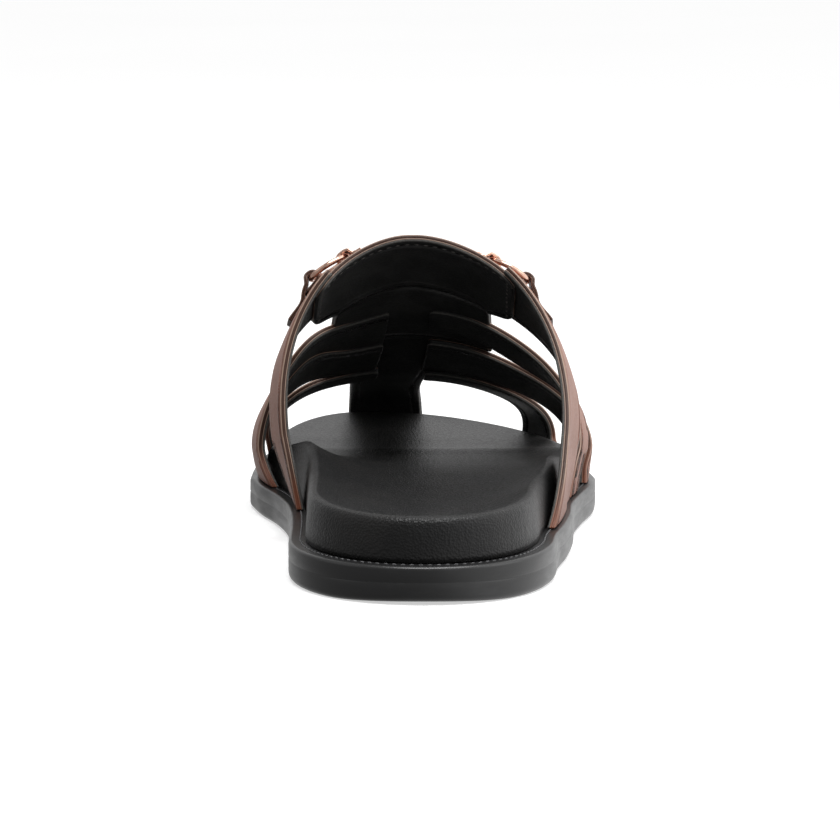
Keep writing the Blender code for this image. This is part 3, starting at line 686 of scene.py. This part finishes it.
PALE_LEVELS = (0.35, 0.7)                 # levels of a noise between which a colour turns paler
ROUGH_LEVELS = (0.3, 0.7)                 # and between which a surface turns rougher
FLOOR_TONE = 0.60
FLOOR_MOTTLE = 0.005
FLOOR_GLOW = 0.56

# Where the upper's finishes, painted highlights and painted shade lie, as distances in from a cut edge and
# out from the inner face.
BORDER_IN = (0.62, 1.05)
CREASE_IN = (0.60, 0.98)
ARRIS_HIGHLIGHT_IN = (0.50, 0.62)
ARRIS_HIGHLIGHT_DEPTH = (1.80, 2.10)
DYE_DEPTH = (1.76, 1.90)
BEAD_HIGHLIGHT_DEPTH = (0.78, 0.96)
CORE_DEPTH = (1.5, 1.8)
LINING_CUT_DEPTH = (0.10, 0.62)
FOOT_HEIGHT = (13.0, 25.0)                # the straps' feet turn red below these heights
FOOT_WAVER = 6.0
SHADED_ACROSS = (-22.0, 15.0)               # inner cut edges get painted shade, the lining's black, between these places across the shoe
SHADED_SOFT = 4.0
SHADED_AHEAD = (8.0, 16.0)


def upper_leather():
    """Rose-brown leather: dyed edges, painted highlights along each cut edge's outer corner and along the
    ridge by the lining, a dark crease beside each edge, redder strap feet, and painted shade over the inner
    cut edges in the middle of the shoe.
    """
    finish = Finish("upper_leather", ROSE_BROWN, 0.46, Specular_IOR_Level=0.26)
    across, ahead, low = finish.node("ShaderNodeSeparateXYZ", {0: finish.place}).outputs
    depth = finish.mark("depth")
    inset = finish.mark("inset")
    cloud = finish.noise(9.0, 3.0, 0.55)
    fine = finish.noise(0.9, 3.0, 0.6)
    colour = finish.blend(finish.spread(cloud, 0.35, 0.68), ROSE_BROWN, ROSE_PALE)
    colour = finish.blend(finish.spread(fine, 0.55, 0.8, 0.0, 0.22), colour, EDGE_BROWN)
    border = finish.spread(inset, *BORDER_IN, 1.0, 0.0)
    colour = finish.blend(finish.times(border, 0.78), colour, EDGE_BROWN)
    crease = finish.window(inset, *CREASE_IN, 0.10)
    colour = finish.blend(finish.times(crease, 0.85), colour, CREASE_BROWN)
    # painted highlight along the outer corner of each cut edge
    arris_highlight = finish.times(finish.window(depth, *ARRIS_HIGHLIGHT_DEPTH, 0.07), finish.spread(inset, *ARRIS_HIGHLIGHT_IN, 0.75, 0.0))
    colour = finish.blend(finish.spread(depth, *DYE_DEPTH, 1.0, 0.0), colour, EDGE_BROWN)
    colour = finish.blend(arris_highlight, colour, EDGE_HIGHLIGHT)
    # painted highlight along the ridge where the lining meets the leather
    bead_highlight = finish.window(depth, *BEAD_HIGHLIGHT_DEPTH, 0.05)
    colour = finish.blend(finish.times(bead_highlight, 0.8), colour, EDGE_HIGHLIGHT)
    foot = finish.spread(finish.maths("ADD", low, finish.times(cloud, FOOT_WAVER)), *FOOT_HEIGHT, 0.75, 0.0)
    colour = finish.blend(foot, colour, FOOT_RED)
    # painted shade: the lining's black laid over the cut edges inside the middle of the shoe, where little
    # light reaches
    middle = finish.times(finish.window(across, *SHADED_ACROSS, SHADED_SOFT), finish.spread(ahead, *SHADED_AHEAD))
    middle = finish.times(middle, finish.spread(depth, *CORE_DEPTH, 1.0, 0.0))
    colour = finish.blend(middle, colour, LINING_BLACK)
    grain = finish.relief((finish.cells(0.55), 0.03), (finish.noise(1.1, 3.0), 0.02))
    rough = finish.spread(finish.noise(0.8), *ROUGH_LEVELS, 0.42, 0.50)
    return finish.use(colour, rough, grain)


def upper_lining():
    """Black lining leather with a fine even grain and a greyer cut edge."""
    finish = Finish("upper_lining", LINING_BLACK, 0.52, Specular_IOR_Level=0.28)
    cloud = finish.noise(7.0, 3.0)
    colour = finish.blend(finish.spread(cloud, *PALE_LEVELS), LINING_BLACK, LINING_PALE)
    rim = finish.window(finish.mark("depth"), *LINING_CUT_DEPTH, 0.08)
    colour = finish.blend(finish.times(rim, finish.noise(0.5)), colour, LINING_CUT)
    grain = finish.relief((finish.cells(0.65), 0.05), (finish.noise(0.5), 0.02))
    rough = finish.spread(finish.noise(0.8), *ROUGH_LEVELS, 0.48, 0.58)
    return finish.use(colour, rough, grain)


def footbed_leather():
    """Black pebbled leather that wraps the footbed, a little polished, with upright wrinkles on its wall."""
    finish = Finish("footbed_leather", BLACK, 0.44, Specular_IOR_Level=0.26)
    cloud = finish.noise(14.0, 3.0)
    colour = finish.blend(finish.spread(cloud, *PALE_LEVELS), BLACK, BLACK_PALE)
    wrinkle = finish.times(finish.noise(1.0, place=finish.stretched(1.5, 1.5, 7.0)), finish.mark("wall"))
    grain = finish.relief((finish.cells(0.6), 0.13), (finish.noise(0.45), 0.015), (wrinkle, 0.10))
    rough = finish.spread(finish.noise(0.9), *ROUGH_LEVELS, 0.38, 0.46)
    return finish.use(colour, rough, grain)


def outsole_rubber():
    """Black rubber, satin, with dusty bloom and faint smears along its sides."""
    finish = Finish("outsole_rubber", RUBBER_BLACK, 0.42, Specular_IOR_Level=0.5)
    bloom = finish.noise(16.0, 4.0, 0.6)
    smear = finish.noise(1.0, 4.0, 0.6, finish.stretched(9.0, 9.0, 2.0))
    dust = finish.times(finish.spread(bloom, 0.42, 0.75), finish.spread(smear, 0.4, 0.75))
    colour = finish.blend(finish.times(dust, 0.25), RUBBER_BLACK, RUBBER_DUSTY)
    grain = finish.relief((finish.noise(0.35), 0.02))
    rough = finish.spread(smear, *ROUGH_LEVELS, 0.29, 0.36)
    return finish.use(colour, rough, grain)


def rose_metal():
    """Polished rose-gold plating with fine wear."""
    finish = Finish("ring_metal", ROSE_GOLD, 0.16, Metallic=1.0)
    haze = finish.noise(1.6, 4.0)
    colour = finish.blend(finish.spread(haze, 0.4, 0.8, 0.0, 0.5), ROSE_GOLD, GOLD_WORN)
    rough = finish.spread(haze, 0.3, 0.75, 0.12, 0.28)
    grain = finish.relief((finish.noise(0.8, 3.0), 0.01))
    return finish.use(colour, rough, grain)


def thread(name, colour):
    """Twisted waxed thread."""
    finish = Finish(name, colour, 0.55, Specular_IOR_Level=0.35)
    twist = finish.noise(0.22)
    pale = tuple(c * THREAD_TWIST + 0.01 for c in colour)
    shade = finish.blend(finish.spread(twist, *PALE_LEVELS), colour, pale)
    return finish.use(shade, relief=finish.relief((twist, 0.05)))


def plain_floor():
    """Matt white studio floor with an even glow of its own."""
    grey = (FLOOR_TONE,) * 3
    finish = Finish("studio_floor", grey, 0.9, Specular_IOR_Level=0.0, Emission_Strength=FLOOR_GLOW)
    pale, deep = ((FLOOR_TONE + shift,) * 3 for shift in (FLOOR_MOTTLE, -FLOOR_MOTTLE))
    colour = finish.blend(finish.spread(finish.noise(400.0), 0.3, 0.7), pale, deep)
    finish.shader.inputs["Emission Color"].default_value = (1.0, 1.0, 1.0, 1.0)
    return finish.use(colour)


# Sole and footbed.
SOLE_POINTS = 260
SOLE_EDGE = 1.8
TOP_EDGE = 1.0
LAYER_LINE = 0.55         # height of the line round the sole's side, as a share of its thickness
LINE_DEPTH = 0.15
TREAD_COLUMNS = 40
TREAD_PITCH = 6.0
TREAD_DEPTH = 0.9
TREAD_MARGIN = 7.0
TREAD_FADE = 2.0          # length over which the grooves end at that margin
WAVE_SWING = 1.6          # swing of the waved grooves to and fro, and their pitch over a turn's angle
WAVE_TURN = 4.2
GROOVE_START = 0.45       # levels of the wave between which a groove's side rises
GROOVE_SIDE = 0.3
SIDE_ROWS = (             # share of the sole's height and share of the line's depth
    (0.35, 0.0), (LAYER_LINE - 0.045, 0.0), (LAYER_LINE - 0.02, 0.7), (LAYER_LINE, 1.0),
    (LAYER_LINE + 0.02, 0.7), (LAYER_LINE + 0.045, 0.0), (0.75, 0.0),
)
EDGE_STEPS = 6            # rows of its rounded edges
PLAIN_COLUMNS = 6         # faces across a hidden or flat cap


def side_loop(inset, share, shift):
    """Outline of the outsole at an inset, at a share of its height and a shift from there."""
    flat = outline(inset, SOLE_POINTS)
    low, high = sole_bottom(flat[:, 1]), sole_top(flat[:, 1])
    return np.column_stack([flat, low * (1 - share) + high * share + shift])


def tread_height(x, along, share, edge):
    """Underside of the sole: waved grooves across it, clear of its rim."""
    wave = along + WAVE_SWING * np.sin(x / WAVE_TURN)
    groove = ease((np.cos(2 * math.pi * wave / TREAD_PITCH) - GROOVE_START) / GROOVE_SIDE)
    half = 0.5 * (sole_edge_x(1, along) - sole_edge_x(-1, along))
    rim = ease((half * (1 - np.abs(share)) - TREAD_MARGIN + TREAD_FADE) / TREAD_FADE)
    ends = ease((np.minimum(along, LENGTH - along) - TREAD_MARGIN) / TREAD_FADE)
    return sole_bottom(along) + TREAD_DEPTH * groove * rim * ends


def outsole_piece(material):
    """Outsole with rounded edges, a fine line round its side and a grooved tread."""
    turns = [math.radians(angle) for angle in np.linspace(0.0, 90.0, EDGE_STEPS)]
    rows = [(SOLE_EDGE * (1 - math.sin(turn)), 0.0, SOLE_EDGE * (1 - math.cos(turn))) for turn in turns]
    rows += [(depth * LINE_DEPTH, share, 0.0) for share, depth in SIDE_ROWS]
    rows += [(TOP_EDGE * (1 - math.cos(turn)), 1.0, -TOP_EDGE * (1 - math.sin(turn))) for turn in turns]
    caps = ((0, TREAD_COLUMNS, tread_height),
            (len(rows) - 1, PLAIN_COLUMNS, lambda x, along, share, edge: sole_top(along)))
    points, faces = stacked_loops([side_loop(*row) for row in rows], caps)
    piece = add_piece("outsole_moulded", points, faces, [material], "outsole_rubber")
    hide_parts("outsole")


WALL_ROWS = 17
CAP_COLUMNS = 72
CREST_INSET = FOOTBED_WALL["inset"][-1]
SEAT_BLEND = 12.0         # length over which the upper face leaves the rim at heel and toe
WRINKLE_START = 0.6       # share of the wall's rows at which its wrinkles begin to fade
WRINKLE_FADE = 0.4


def footbed_share(x, along):
    """Where a point lies across the footbed: -1 at the medial rim, 1 at the lateral rim."""
    right, left = sole_edge_x(1, along), sole_edge_x(-1, along)
    half = 0.5 * (right - left) - LEDGE - CREST_INSET
    return np.clip((x - 0.5 * (right + left)) / np.maximum(half, 1.0), -1.0, 1.0)


def footbed_height(x, along, share, edge):
    """Upper face of the footbed inside its rim."""
    middle, medial, lateral, cup = columns(FOOTBED, along)
    height = middle + (np.where(share > 0, lateral, medial) - middle) * np.abs(share) ** cup
    end = np.minimum(along - LEDGE - CREST_INSET, LENGTH - LEDGE - CREST_INSET - along)
    return edge + (height - edge) * ease(end / SEAT_BLEND)


def footbed_piece(material):
    """Contoured footbed wrapped in leather."""
    rows = range(len(FOOTBED_WALL["inset"]))
    steps = np.linspace(0.0, rows[-1], WALL_ROWS)
    loops = []
    for inset, rise in zip(*(through(rows, values, steps) for values in FOOTBED_WALL.values())):
        flat = outline(LEDGE + inset, SOLE_POINTS)
        share = footbed_share(flat[:, 0], flat[:, 1])
        _, medial, lateral, _ = columns(FOOTBED, flat[:, 1])
        rim = 0.5 * (lateral + medial) + 0.5 * (lateral - medial) * share
        foot = sole_top(flat[:, 1]) + GAP
        loops.append(np.column_stack([flat, foot + (rim - foot) * rise]))
    caps = ((0, PLAIN_COLUMNS, lambda x, along, share, edge: sole_top(along) + GAP),
            (WALL_ROWS - 1, CAP_COLUMNS, footbed_height))
    points, faces = stacked_loops(loops, caps)
    fade = 1.0 - ease((np.arange(WALL_ROWS) / (WALL_ROWS - 1) - WRINKLE_START) / WRINKLE_FADE)
    wall = np.zeros(len(points))
    wall[:WALL_ROWS * len(loops[0])] = np.repeat(fade, len(loops[0]))
    piece = add_piece("footbed_wrapped", points, faces, [material], "footbed_leather", marks={"wall": wall})
    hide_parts("footbed")


def upper_piece(leather, lining):
    """Upper: straps, centre panel and toe band, each with its own cut edges, lined on the inside."""
    strips = [strip_on_last(rear, front, STRAP_PLACES, (hidden, foot), layer * LAYER,
                            STRAP_ROWS, 1.0, (STRAP_CORNER, 0.0))
              for hidden, foot, layer, rear, front in STRAPS]
    strips.append(strip_on_last(PANEL_COLLAR, PANEL_FRONT, PANEL_PLACES, PANEL_SIDES, PANEL_LAYER * LAYER,
                                PANEL_ROWS, 0.0, (PANEL_CORNER, PANEL_CORNER)))
    rear, front = ((edge, edge) for edge in TONGUE_EDGES)
    strips.append(strip_on_last(rear, front, (0.0, 1.0), TONGUE_SIDES, TONGUE_LAYER * LAYER, TONGUE_ROWS,
                                0.0, (TONGUE_CORNER, TONGUE_CORNER)))
    strips.append(toe_band())
    grids, *marks = zip(*strips)
    points, faces = gathered(grids, strip_faces)
    inset, depth = (np.concatenate([values.reshape(-1) for values in mark]) for mark in marks)
    kinds = [depth[face].mean() < LINING for face in faces]
    piece = add_piece("upper_straps", points, faces, [leather, lining], "upper_leather", kinds,
                      {"inset": inset, "depth": depth})
    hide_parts("upper")


def ring_frame(side):
    """Centre of a ring and its directions: down the side of the shoe, forwards and outwards."""
    place = RING_PLACES[side]
    level = last_normal(RING_ALONG, side * place)
    step = last_point(RING_ALONG, side * (place + PLACE_STEP)) - last_point(RING_ALONG, side * place)
    slope = unit(step - level * (step @ level))
    tilt = math.radians(RING_TILT)
    down = slope * math.cos(tilt) + level * math.sin(tilt)
    lifted = level * math.cos(tilt) - slope * math.sin(tilt)
    along = side * np.cross(lifted, down)
    pitch = math.radians(RING_PITCH)
    forwards = along * math.cos(pitch) + lifted * math.sin(pitch)
    outwards = lifted * math.cos(pitch) - along * math.sin(pitch)
    return off_last(RING_ALONG, side * place, RING_HEIGHT), down, forwards, outwards


def ring_piece(name, side, metal):
    """Smooth round ring on the shoulder of the centre panel."""
    centre, down, forwards, outwards = ring_frame(side)
    turn = np.linspace(0.0, 2 * math.pi, RING_TURNS, endpoint=False)[:, None, None]
    roll = np.linspace(0.0, 2 * math.pi, ROD_TURNS, endpoint=False)[None, :, None]
    ray = down * np.cos(turn) + forwards * np.sin(turn)
    points = centre + ray * (RING_RADIUS + RING_ROD * np.cos(roll)) + outwards * RING_ROD * np.sin(roll)
    faces = ring_faces(RING_TURNS, ROD_TURNS, closed=True)
    piece = add_piece("ring_round_" + name, points.reshape(-1, 3), faces, [metal], "ring_metal")
    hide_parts("ring_" + name)


def rod_seat(side, direction):
    """Place on the last below a ring's rod, the rod's height over it and its shift along the rod."""
    centre, down, forwards, _ = ring_frame(side)
    rod = centre + down * direction * (RING_RADIUS - RING_SLACK)
    places = side * (RING_PLACES[side] + direction * np.linspace(0.0, SEAT_REACH, SEAT_TRIES))
    reach = rod - last_point(RING_ALONG, places)
    heights = (reach * last_normal(RING_ALONG, places)).sum(axis=1)
    miss = rod - off_last(RING_ALONG, places, heights)
    best = int(np.argmin(np.linalg.norm(miss, axis=1)))
    return places[best], heights[best], float(miss[best] @ forwards)


def loop_route(bend, thick, tab, drop):
    """Middle line of the leather loop: under the rod, round it and back over its own short end."""
    route = [(LOOP_TUCK, -drop), (bend, -drop)]
    for turn in range(270, 29, -BEND_STEP):
        angle = math.radians(turn)
        low = drop if turn > 180 else bend
        route.append(((bend + RING_SLACK) * math.cos(angle), low * math.sin(angle)))
    fold = thick + GAP / 2 - drop
    shoulder = bend + RING_SLACK
    route.append((0.5 * (shoulder + LOOP_TUCK) - GAP, 0.5 * (GAP + fold)))
    route.append((LOOP_TUCK - GAP, fold))
    route.append((LOOP_TUCK + 0.5 * LOOP_LAP, 0.5 * (fold - drop)))
    route.append((LOOP_TUCK + LOOP_LAP, -drop))
    route.append((tab, -drop))
    return np.array(route)


def keeper_route(bend, tab, drop):
    """Middle line of the metal keeper: flat on the panel, over the rod and down inside the ring."""
    wide = bend + RING_SLACK
    arch = [(wide * math.cos(math.radians(turn)), bend * math.sin(math.radians(turn)))
            for turn in range(0, 181, BEND_STEP)]
    knee = KEEPER_RISE * KEEPER_KNEE
    start = [(tab, -drop), (wide + KEEPER_KNEE, -drop), (wide + knee, knee - drop)]
    end = [(-wide - knee, knee - drop), (-wide - KEEPER_KNEE, -drop), (-wide - KEEPER_FOOT, -drop)]
    return np.array(start + arch + end)


def holder_profile(wide, thick):
    """Rounded section of a holder; point k lies across from point -1 - k."""
    turn = np.radians(np.linspace(0.0, 90.0, ROUND_STEPS))
    u = wide / 2 - HOLDER_CORNER * (1 - np.sin(turn))
    v = thick / 2 - HOLDER_CORNER * (1 - np.cos(turn))
    corner = np.stack([u, v], 1)
    flat = np.linspace(-HOLDER_FLAT, HOLDER_FLAT, HOLDER_COLUMNS) * (wide / 2 - HOLDER_CORNER)
    top = np.concatenate([(corner * (-1, 1))[::-1], np.stack([flat, 0 * flat + thick / 2], 1), corner])
    return np.concatenate([top, (top * (1, -1))[::-1]])


def holder_piece(index, name, side, material):
    """Strip that bends round a ring's rod, with its ends on the upper."""
    kind, direction, layer, wide, thick, tab = (values[index] for values in HOLDERS.values())
    place, height, offset = rod_seat(side, direction)
    drop = height - layer * LAYER - WALL - GAP - thick / 2
    bend = RING_ROD + GAP + thick / 2
    route = loop_route(bend, thick, tab, drop) if direction > 0 else keeper_route(bend, tab, drop)
    length = distances(route)
    rows, shrink = end_rows(length[-1], HOLDER_ROWS, HOLDER_END)
    line = np.stack([through(length, route[:, k], rows) for k in (0, 1)], 1)
    ahead = unit(np.gradient(line, rows + 1e-6 * np.arange(len(rows)), axis=0))
    sideways = np.stack([-ahead[:, 1], ahead[:, 0]], 1)[:, None]
    profile = holder_profile(wide, thick)
    u, v = (np.sign(p) * np.maximum(np.abs(p) - shrink[:, None], HOLDER_LEAST) for p in profile.T)
    reach, lift = (line[:, None, k] + sideways[..., k] * v for k in (0, 1))
    step = off_last(RING_ALONG, place + PLACE_STEP, height) - off_last(RING_ALONG, place, height)
    pace = np.linalg.norm(step) / PLACE_STEP
    there = place + side * direction * reach / pace
    along = offset + u
    straight = off_last(RING_ALONG, there, height + lift) + ring_frame(side)[2] * along[..., None]
    on_upper = off_last(RING_ALONG + along, there, height + lift)
    settled = np.clip(line[:, 0] / HOLDER_SETTLE, 0.0, 1.0)[:, None, None]
    grid = straight * (1 - settled) + on_upper * settled
    inset = np.minimum(wide / 2 - np.abs(u), (rows[-1] - rows)[:, None])
    depth = np.where(np.abs(v) > thick / 2 - HOLDER_RIM, WALL, HOLDER_CORE)
    marks = {"inset": inset.reshape(-1) + HOLDER_INSET, "depth": depth.reshape(-1)}
    piece_name = kind + "_" + name
    slot = "loop_leather" if direction > 0 else "keeper_metal"
    points, faces = gathered([grid], strip_faces)
    piece = add_piece(piece_name + "_bent", points, faces, [material], slot, marks=marks)
    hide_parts(piece_name)


def stitches(path, up, pitch, length, radius):
    """Row of short stitches along a path; up gives the direction off the surface at its points."""
    run = distances(path)
    number = int(run[-1] / pitch)
    middles = (np.arange(number) + 0.5) * run[-1] / number
    end = np.linspace(-1.0, 1.0, STITCH_ROWS)
    turn = np.linspace(0.0, 2 * math.pi, STITCH_SIDES, endpoint=False)[:, None]
    reach = middles[:, None] + 0.5 * length * end
    place, level = path_at(path, run, reach), unit(path_at(up, run, reach))
    across = np.cross(unit(place[:, -1] - place[:, 0])[:, None], level)
    size = (radius * (1 - STITCH_TAPER * end ** 4))[:, None, None]
    place = (place + level * (-STITCH_SINK * radius * end ** 4)[:, None])[:, :, None]
    off = across[:, :, None] * np.cos(turn) * STITCH_WIDE + level[:, :, None] * np.sin(turn) * STITCH_HIGH
    return list(place + off * size)


def stitch_faces(rows, ring):
    """Faces of a stitch with its two ends."""
    return list(ring_faces(rows, ring)) + [np.arange(ring), (rows - 1) * ring + np.arange(ring)]


def upper_stitches(material):
    """Rows beside the collar, outside and inside, and down the panel's sides on the inside."""
    base = PANEL_LAYER * LAYER

    def sew(along, places, lift, way):
        path = off_last(along, places, np.full(places.shape, base + lift))
        return stitches(path, way * last_normal(along, places), *UPPER_STITCH)

    places = np.linspace(*PANEL_SIDES, COLLAR_PATH)[COLLAR_ENDS:-COLLAR_ENDS]
    collar = through(PANEL_PLACES, PANEL_COLLAR, np.abs(places)) + STITCH_IN
    rows = sew(collar, places, WALL, 1.0) + sew(collar, places, 0.0, -1.0)
    for end in PANEL_SIDES:
        place = end - np.sign(end) * PANEL_STITCH_IN
        rear, front = (float(through(PANEL_PLACES, edge, abs(place))) for edge in (PANEL_COLLAR, PANEL_FRONT))
        along = np.linspace(rear + STITCH_IN, front - STITCH_IN, SIDE_PATH)
        rows += sew(along, np.full(along.shape, place), 0.0, -1.0)
    add_piece("upper_stitches", *gathered(rows, stitch_faces), [material], "upper_leather")


def sole_stitches(material):
    """Row on the sole's ledge, all round the footbed's foot."""
    flat = outline(LEDGE - LEDGE_STITCH_OUT, SOLE_POINTS)
    flat = np.vstack([flat, flat[:1]])
    path = np.column_stack([flat, sole_top(flat[:, 1]) + LEDGE_STITCH_LIFT])
    up = np.broadcast_to((0.0, 0.0, 1.0), path.shape)
    rows = stitches(path, up, *LEDGE_STITCH)
    add_piece("sole_stitches", *gathered(rows, stitch_faces), [material], "outsole_rubber")


# Stage, light and camera.
CAMERA_PLACE = (-0.0008, -1.199, 0.182)
CAMERA_DOWN = 7.25        # degrees below level
CAMERA_LENS = 190.29
BRIGHT_SIDE = (0.88, 0.38, 0.10)          # the side of the room that glows most
ROOM_GLOW = (-0.6, 0.9, 0.30, 1.15)
LIGHTS = (
    # name, place, size, watts
    ("top", (0.1, -0.3, 1.2), (1.0, 0.5), 15.0),
    ("left", (-1.1, -0.1, 0.7), (0.9, 0.9), 1.0),
    ("right", (1.1, -0.1, 0.7), (0.9, 0.9), 2.5),
)
LIT_PLACE = (0.0, 0.0, 0.03)              # what the lights point at
FLOOR_REACH = 30.0


def add_light(name, place, size, watts):
    """Soft rectangular light turned to the shoe."""
    light = bpy.data.lights.new(name, "AREA")
    light.shape = "RECTANGLE"
    light.size, light.size_y = size
    light.energy = watts
    item = add_object(name, light)
    item.location = place
    item.rotation_euler = (Vector(LIT_PLACE) - Vector(place)).to_track_quat("-Z", "Y").to_euler()


def room():
    """Room that glows more on one side."""
    world = bpy.data.worlds.new("studio")
    world.use_nodes = True
    bpy.context.scene.world = world
    tree = world.node_tree
    way = add_node(tree, "ShaderNodeTexCoord").outputs["Generated"]
    toward = add_node(tree, "ShaderNodeVectorMath", {0: way, 1: BRIGHT_SIDE}, operation="DOT_PRODUCT")
    links = dict(zip(("From Min", "From Max", "To Min", "To Max"), ROOM_GLOW))
    links["Value"] = toward.outputs["Value"]
    glow = add_node(tree, "ShaderNodeMapRange", links, interpolation_type="SMOOTHSTEP").outputs["Result"]
    back = tree.nodes["Background"]
    back.inputs["Color"].default_value = (1.0, 1.0, 1.0, 1.0)
    tree.links.new(glow, back.inputs["Strength"])


def studio():
    """Pale floor, soft light and the camera."""
    mesh = bpy.data.meshes.new("floor")
    corners = [(x * FLOOR_REACH, y * FLOOR_REACH, 0) for x, y in ((-1, -1), (1, -1), (1, 1), (-1, 1))]
    mesh.from_pydata(corners, [], [(0, 1, 2, 3)])
    mesh.materials.append(plain_floor())
    floor = add_object("floor", mesh)
    floor.visible_diffuse = False
    floor.visible_glossy = False
    room()
    for row in LIGHTS:
        add_light(*row)
    lens = bpy.data.cameras.new("camera")
    lens.lens = CAMERA_LENS
    camera = add_object("camera", lens)
    camera.location = CAMERA_PLACE
    camera.rotation_euler = (math.radians(90.0 - CAMERA_DOWN), 0.0, 0.0)
    bpy.context.scene.camera = camera
    bpy.context.scene.view_settings.view_transform = "Standard"


def main():
    """Builds the looks."""
    studio()
    outsole_piece(outsole_rubber())
    footbed_piece(footbed_leather())
    leather = upper_leather()
    upper_piece(leather, upper_lining())
    metal = rose_metal()
    for name, side in (("medial", -1), ("lateral", 1)):
        ring_piece(name, side, metal)
        for index, material in enumerate((leather, metal)):
            holder_piece(index, name, side, material)
    upper_stitches(thread("dark_thread", THREAD_DARK))
    sole_stitches(thread("sole_thread", THREAD_GREY))


main()
